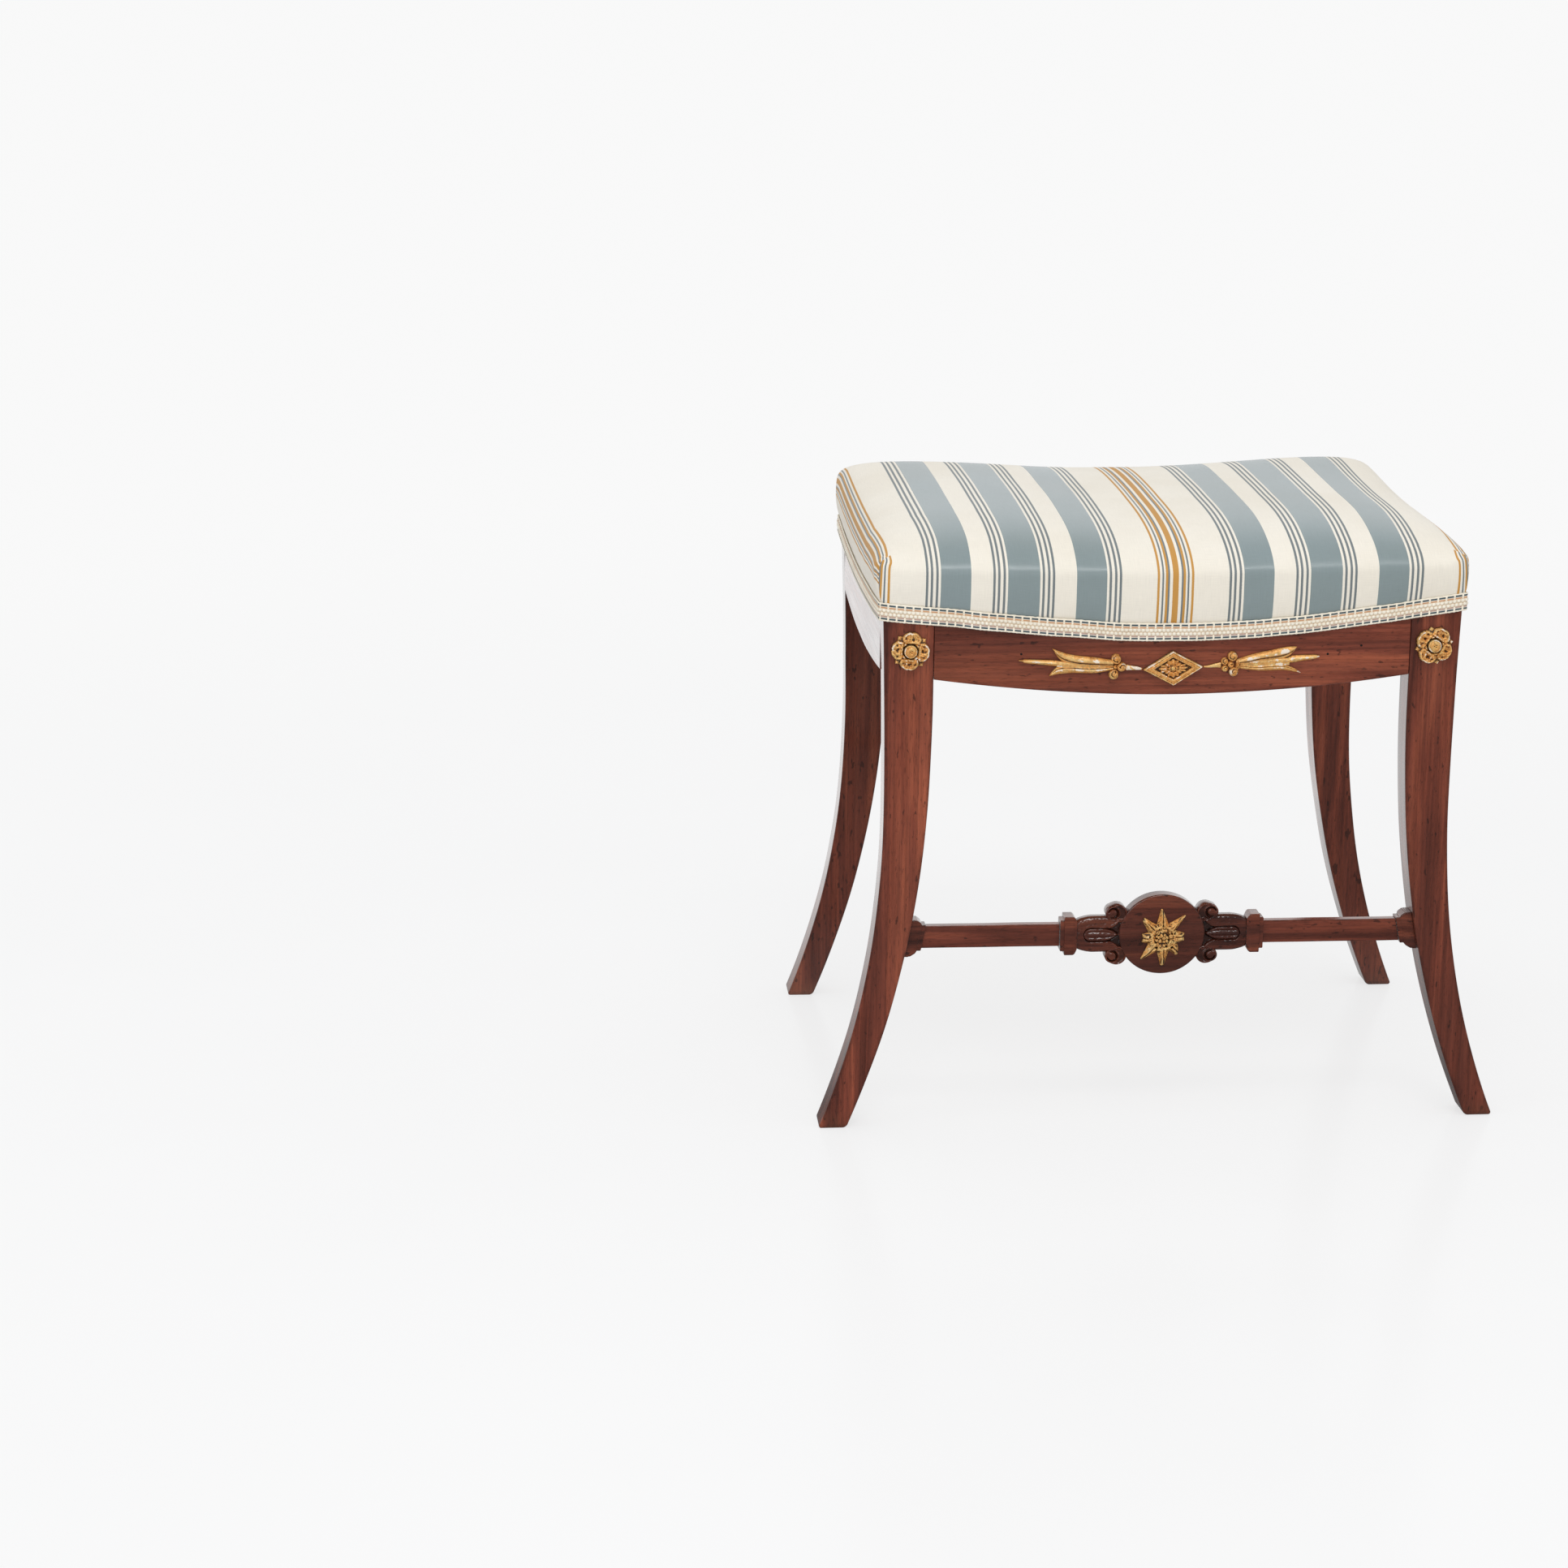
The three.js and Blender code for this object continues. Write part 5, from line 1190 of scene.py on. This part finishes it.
def seat_net(columns):
    """The cover's points, ring by ring from the crown over the crest to the hem, and each one's outline."""
    net = np.zeros((len(TOPS) + len(WALLS), len(columns), 3))
    sizes = np.zeros(net.shape)
    for k, column in enumerate(columns):
        near_x = column_point(column, CREST_X, CREST_Y, CREST_R)[0]
        peak = 5.6 - (1.2 * bow(near_x / 200.0) if column[0] == "x" else 0.0)
        hx, hy = CORNER_X + peak, HALF_DEPTH + peak
        cx, cy = column_point(column, hx, hy, CREST_R)
        for j, share in enumerate(TOPS):
            x, y = cx * (1 - share), cy * (1 - share)
            net[j, k] = (x, y, seat_z(x, y))
            sizes[j, k] = (hx, hy, CREST_R)
        low, high = gimp_low(cx, cy) + BRAID_W, seat_z(cx, cy)
        for j, share in enumerate(WALLS, len(TOPS)):
            h = (high - low) * share
            ripple = 0.3 * noise.noise(Vector((cx / 17.0, cy / 17.0, h / 16.0))) * unit(share * 4)
            off = wall_off(peak, h) + ripple
            r = HEM_R + (CREST_R - HEM_R) * max(0.0, share) ** 0.8
            sizes[j, k] = (CORNER_X + off, HALF_DEPTH + off, r)
            net[j, k] = (*column_point(column, *sizes[j, k]), low + h)
        net[:, k] = round_crest(net[:, k])
    # the pleats at the corners
    levels = [max(0.0, 1 - share / 0.018) ** 1.5 for share in TOPS]
    levels += [min(1.0, 0.4 + max(0.0, share) * 6) for share in WALLS]
    for k, (axis, sign, at) in enumerate(columns):
        if axis == "c":
            push = np.array([fold_push(at, level) for level in levels])
            net[:, k, 0] += sign[0] * math.cos(at) * push
            net[:, k, 1] += sign[1] * math.sin(at) * push
    return net, sizes


def cloth_column(column, line, sizes):
    """Cloth coordinates down a column, as (u, v) of the side breadth and (u, v) of the front one."""
    axis, _, at = column
    cx, cy, cz = line[CREST]
    away = 0.0
    if axis == "c":
        away = CREST_R * max(0.0, FOLD - at)
    elif axis == "y":
        away = CREST_R * FOLD + (CREST_Y - CREST_R) - abs(cy)
    out = []
    run_u = run_v = 0.0
    for j, ((x, y, z), (hx, hy, r)) in enumerate(zip(line, sizes)):
        step = float(np.linalg.norm(line[j] - line[j - 1])) if j else 0.0
        ax, ay = abs(x), abs(y)
        wall = j > CREST
        w = 1.0 if wall else math.exp(-math.hypot(cx - x, cy - y) / 5.0)
        bend_u, bend_v = ax, ay
        if axis == "c":
            bend_u, bend_v = (hx - r) + r * (math.pi / 2 - at), (hy - r) + r * at
        if ax > 219.5 or wall:
            run_u = run_u + step if run_u else ax + step * wall
        if ay > 176.0 or wall:
            run_v = run_v + step if run_v else ay + step * wall
        drop = max(-2.0, 2.6 - 0.45 * max(0.0, cz - z)) * math.exp(-away / 8.0)
        out.append(((run_u or ax) - drop * w, ay + (bend_v - ay) * w, ax + (bend_u - ax) * w, run_v or ay))
    return out


def build_seat():
    columns = seat_columns()
    count = len(columns)
    net, sizes = seat_net(columns)
    cloth = [cloth_column(column, net[:, k], sizes[:, k]) for k, column in enumerate(columns)]
    front = [axis == "x" or (axis == "c" and at > FOLD) for axis, _, at in columns]
    signs = np.where(net[CREST] >= 0, MM, -MM)
    verts = net.reshape(-1, 3).tolist()
    rows = numbered(len(net), count)
    faces, uvs = strips(rows), []
    for j in range(len(net) - 1):
        for k, n in pairs(range(count)):
            for jj, kk in ((j, k), (j + 1, k), (j + 1, n), (j, n)):
                # the pleat's own edge takes the colour of the cloth in front
                source = kk if front[k] == front[n] else k if front[k] else n
                u, v = cloth[source][jj][2:] if front[k] or front[n] else cloth[kk][jj][:2]
                uvs.append((signs[kk, 0] * u, signs[kk, 1] * v))
    # the crown's middle, and the underside on the hessian
    faces += fan(len(verts), rows[0])
    for pair in pairs(net[0, :, :2] * MM):
        uvs += [(0.0, 0.0), *pair]
    verts.append((0.0, 0.0, seat_z(0, 0)))
    under = [rows[-1]]
    for shrink in (0.985, 0.8, 0.5):
        under.append(list(range(len(verts), len(verts) + count)))
        for column in columns:
            x, y = column_point(column, CORNER_X * shrink, HALF_DEPTH * shrink, HEM_R)
            verts.append((x, y, frame_top(x, y) + 6.0))
    faces += strips(under) + [(a, len(verts), b) for a, b in pairs(under[-1])]
    verts.append((0.0, 0.0, frame_top(0, 0) + 6.0))
    uvs += [(0.02, 0.0)] * (count * (4 * 3 + 3))
    obj = make("upholstered_seat", verts, faces, uvs, sharp=0)
    dress(obj, satin(), "satin", "seat_cover", "seat_stuffing")


# ---------------------------------------------------------------- braid

BRAID_STEP = 6.4  # one repeat of the pattern
BRAID_PARTS = 14  # points along a repeat
BRAID_R = 2.8
THREAD = {name: np.array(colour(value)[:3]) for name, value in {
    "cream": (252, 244, 226), "pearl": (253, 246, 230), "navy": (70, 88, 96), "tan": (206, 148, 104),
    "mauve": (190, 158, 150), "pink": (218, 174, 142), "sand": (240, 226, 198)}.items()}


def braid_pattern(p, w):
    """Height and colour of the braid at share p of its repeat and w millimetres up its width, with painted shade
    where the cord and the pearls round away.
    """
    low, tie = min(w, BRAID_W - w), min(p, 1 - p)
    if low < 1.2:
        cord = math.sqrt(max(0.0, 1 - ((low - 0.65) / 0.75) ** 2))
        # painted shade: the cord is darker where it rounds away
        return 0.25 + 0.75 * cord * (0.8 + 0.2 * math.cos(4 * math.pi * p)), THREAD["cream"] * (0.8 + 0.2 * cord)
    if low < 2.75:
        if tie < 0.11:
            return 0.85, THREAD["cream"]
        return 0.62 * math.sin(math.pi * (low - 1.2) / 1.55) + 0.15, THREAD["navy"]
    if low < 4.1:
        if abs(low - (3.25 + 0.3 * math.sin(math.pi * p))) < 0.55 and tie > 0.13:
            return 0.7, THREAD["tan" if w > 7 else "mauve"]
        return 0.42, THREAD["cream"]
    row, middle = (0.0, 5.55) if w < 7.0 else (0.5, 8.45)
    q = (2 * p + row) % 1.0 - 0.5
    r2 = (q * 3.2 / 1.45) ** 2 + ((w - middle) / 1.35) ** 2
    if r2 < 1:
        # painted shade: each pearl is darker towards its rim
        return 0.55 + 0.95 * math.sqrt(1 - r2), THREAD["pearl"] * (0.78 + 0.22 * math.sqrt(1 - r2))
    return 0.4, THREAD["pink"] * 0.3 + THREAD["sand"] * 0.65


def braid_path():
    """Points round the seat with the way out from it, and the length of the whole round."""
    hx, hy = CORNER_X + 2.0, HALF_DEPTH + 2.0
    long_x, long_y, turn = 2 * (hx - BRAID_R), 2 * (hy - BRAID_R), math.pi / 2 * (BRAID_R + 0.9)
    legs = [(("y", 1), long_y), ((1, 1, 0), turn), (("x", 1), long_x), ((-1, 1, 90), turn),
            (("y", -1), long_y), ((-1, -1, 180), turn), (("x", -1), long_x), ((1, -1, 270), turn)]
    total = sum(length for _, length in legs)
    count = round(total / BRAID_STEP) * BRAID_PARTS
    path = []
    for i in range(count):
        s, index = total * i / count, 0
        while s > legs[index][1] + 1e-9:
            s -= legs[index][1]
            index += 1
        leg, length = legs[index]
        share = s / length
        if len(leg) == 2:
            spot = column_point((*leg, 2 * share - 1), hx, hy, BRAID_R)
            path.append((*spot, *((leg[1], 0.0) if leg[0] == "y" else (0.0, leg[1]))))
        else:
            t = math.radians(leg[2] + 90 * share)
            nx, ny = math.cos(t), math.sin(t)
            path.append((leg[0] * (hx - BRAID_R) + BRAID_R * nx, leg[1] * (hy - BRAID_R) + BRAID_R * ny, nx, ny))
    return path, total


def build_braid():
    path, total = braid_path()
    count, rows = len(path), 31
    verts, colours, cloth = [], [], []
    for i, (x, y, nx, ny) in enumerate(path):
        p = (i / BRAID_PARTS) % 1.0
        along = total * i / count
        fray = 0.45 * noise.noise(Vector((along / 2.1, 5.0, 0.0))) + 0.3 * math.cos(2 * math.pi * p)
        lowest = gimp_low(x, y) + 0.35 * noise.noise(Vector((along / 23.0, 0.3, 0.0)))
        for j in range(rows):
            w = BRAID_W * j / (rows - 1)
            height, shade = braid_pattern(p, min(BRAID_W - 0.001, w))
            if j in (0, rows - 1):
                height = 0.05
            hang = abs(fray * {0: 0.7, 1: 0.28}.get(j, 0.0))
            top = fray * 0.5 if j == rows - 1 else 0.0
            verts.append((x + nx * (0.25 + height), y + ny * (0.25 + height), lowest + w - hang + top))
            colours.append(shade * (0.96 + 0.08 * noise.noise(Vector((along / 4.0, w / 3.0, 2.0)))))
            cloth.append((along * MM, w * MM))
    grid = numbered(count, rows)
    faces = strips([*grid, grid[0]], False)
    # a flat back
    for x, y, _, _ in path:
        low = gimp_low(x, y)
        verts += [(x, y, low + 0.3), (x, y, low + BRAID_W - 0.3)]
        colours += [THREAD["sand"]] * 2
        cloth += [(0, 0)] * 2
    backs = numbered(count, 2, count * rows)
    for (a, b), (c, d) in zip(pairs(backs), pairs(grid)):
        faces += [(*a, b[1], b[0]), (a[0], b[0], d[0], c[0]), (a[1], c[-1], d[-1], b[1])]
    uvs = [cloth[q] for face in faces for q in face]
    obj = make("braid", verts, faces, uvs, sharp=0, thread=colours)
    dress(obj, braid_material(), "gimp", "gimp_braid")


# ---------------------------------------------------------------- stage

WHITE = 0.945  # the studio as the camera sees it
FLOOR_R = 9.0
FOCAL_PX, PHOTO_PX = 4271.65, 1932.0
SENSOR = 36.0


def build_floor():
    count, sides = 24, 64
    radii = [FLOOR_R * (j / count) ** 1.6 for j in range(1, count + 1)]
    verts = [(0, 0, 0)] + [(r * math.cos(t), r * math.sin(t), 0) for r in radii for t in circle(sides)]
    rows = numbered(count, sides, 1)
    mesh = bpy.data.meshes.new("floor")
    mesh.from_pydata(verts, [], fan(0, rows[0]) + strips(rows))
    obj = link("floor", mesh)
    obj.location.z = -0.0004
    n = material("white_floor")
    spot = n.place()
    tone = n.noise(spot, 2.4, 4.0, 0.6)
    specks = n.ramp(n.noise(spot, 75.0, 4.0, 0.75), (0.72, 0), (0.76, 0.35))
    base = n.mix(specks, n.ramp(tone, (0.35, 0.86), (0.65, 0.89)), 0.4)
    polished = n.shader(base, Roughness=0.2, IOR=1.3, Normal=n.bump(tone, 0.05, 0.01))
    away = n.out("ShaderNodeVectorMath", "Value", {0: spot}, operation="LENGTH")
    fade = n.math("DIVIDE", away - 0.6, 2.0, clamp=True)
    camera, glossy = [n.out("ShaderNodeLightPath", f"Is {kind} Ray") for kind in ("Camera", "Glossy")]
    # polished wood mirrors a white floor behind the stool and a dim one on the viewer's side
    depth = n.math("DIVIDE", n.part(spot, 1) + 0.1, 0.8, clamp=True)
    clear = n.out("ShaderNodeEmission", 0, {"Color": n.mix(glossy, WHITE, n.ramp(depth, (0, 0.14), (1, 0.96)))})
    share = n.math("MAXIMUM", n.ramp(fade, (0.0, 0.75), (1.0, 1), interpolation="EASE") * camera, glossy)
    mesh.materials.append(n.finish(n.out("ShaderNodeMixShader", 0, {0: share, 1: polished, 2: clear})))


def build_world():
    world = bpy.data.worlds.new("studio")
    bpy.context.scene.world = world
    n = Nodes(world)
    camera, through, glossy = [
        n.out("ShaderNodeLightPath", f"Is {kind} Ray") for kind in ("Camera", "Transmission", "Glossy")]
    direction = n.out("ShaderNodeTexCoord", "Generated")
    up = n.part(direction, 2)
    # the room behind the viewer is dimmer than the white studio round the stool
    room = n.ramp(n.math("MULTIPLY_ADD", n.part(direction, 1), 0.5, 0.5), (0.1, 0.14), (0.45, 0.96))
    room = n.tint(room, 1.0, up, (0.5, 1), (0.85, 0.3))
    sky = n.ramp(up, (0.0, (0.515, 0.51, 0.5, 1.0)), (0.9, (0.96, 0.97, 0.995, 1.0)))
    shown = n.mix(n.math("MAXIMUM", camera, through), n.mix(glossy, sky, room), WHITE)
    n.finish(n.out("ShaderNodeBackground", 0, {0: shown, 1: 1.0}), "ShaderNodeOutputWorld")


def lamp(name, place, aim, size_x, size_y, power):
    data = bpy.data.lights.new(name, "AREA")
    data.shape = "RECTANGLE"
    data.size, data.size_y, data.energy = size_x, size_y, power
    obj = link(name, data)
    obj.location = place
    obj.rotation_euler = (Vector(aim) - Vector(place)).to_track_quat("-Z", "Y").to_euler()


def build_camera():
    data = bpy.data.cameras.new("camera")
    data.sensor_width = SENSOR
    data.lens = FOCAL_PX * SENSOR / PHOTO_PX
    data.clip_start, data.clip_end = 0.05, 60.0
    camera = link("camera", data)
    matrix = Matrix.Translation((-0.4848, -2.74275, 0.9593))
    for degrees, axis in ((-4.165, "Z"), (90 - 14.779, "X"), (0.277, "Z")):
        matrix @= Matrix.Rotation(math.radians(degrees), 4, axis)
    camera.matrix_world = matrix
    bpy.context.scene.camera = camera


def paint_hidden():
    """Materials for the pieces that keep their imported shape."""
    looks = {
        "corner_block": pine(),
        "screw": steel(),
        "_web_": weave_material("jute_webbing", (176, 142, 92), (84, 62, 36), 2.6),
        "hessian": weave_material("hessian_cloth", (168, 136, 90), (70, 52, 32), 1.9, 0.9),
    }
    for name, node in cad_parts.items():
        for key, look in looks.items():
            if key in name:
                node.data.materials.clear()
                node.data.materials.append(look)


bpy.context.scene.view_settings.view_transform = "Standard"
build_camera()
build_frame()
build_stretcher()
build_ornaments()
build_seat()
build_braid()
paint_hidden()
build_floor()
build_world()
lamp("soft_top", (0.0, -1.45, 2.5), (0, 0, 0.3), 0.9, 0.6, 12.5)
lamp("soft_front", (-0.9, -3.0, 1.1), (0, 0, 0.3), 1.6, 1.6, 14.5)
lamp("soft_left", (-2.3, -1.0, 2.3), (0, 0, 0.2), 0.7, 0.7, 2.5)
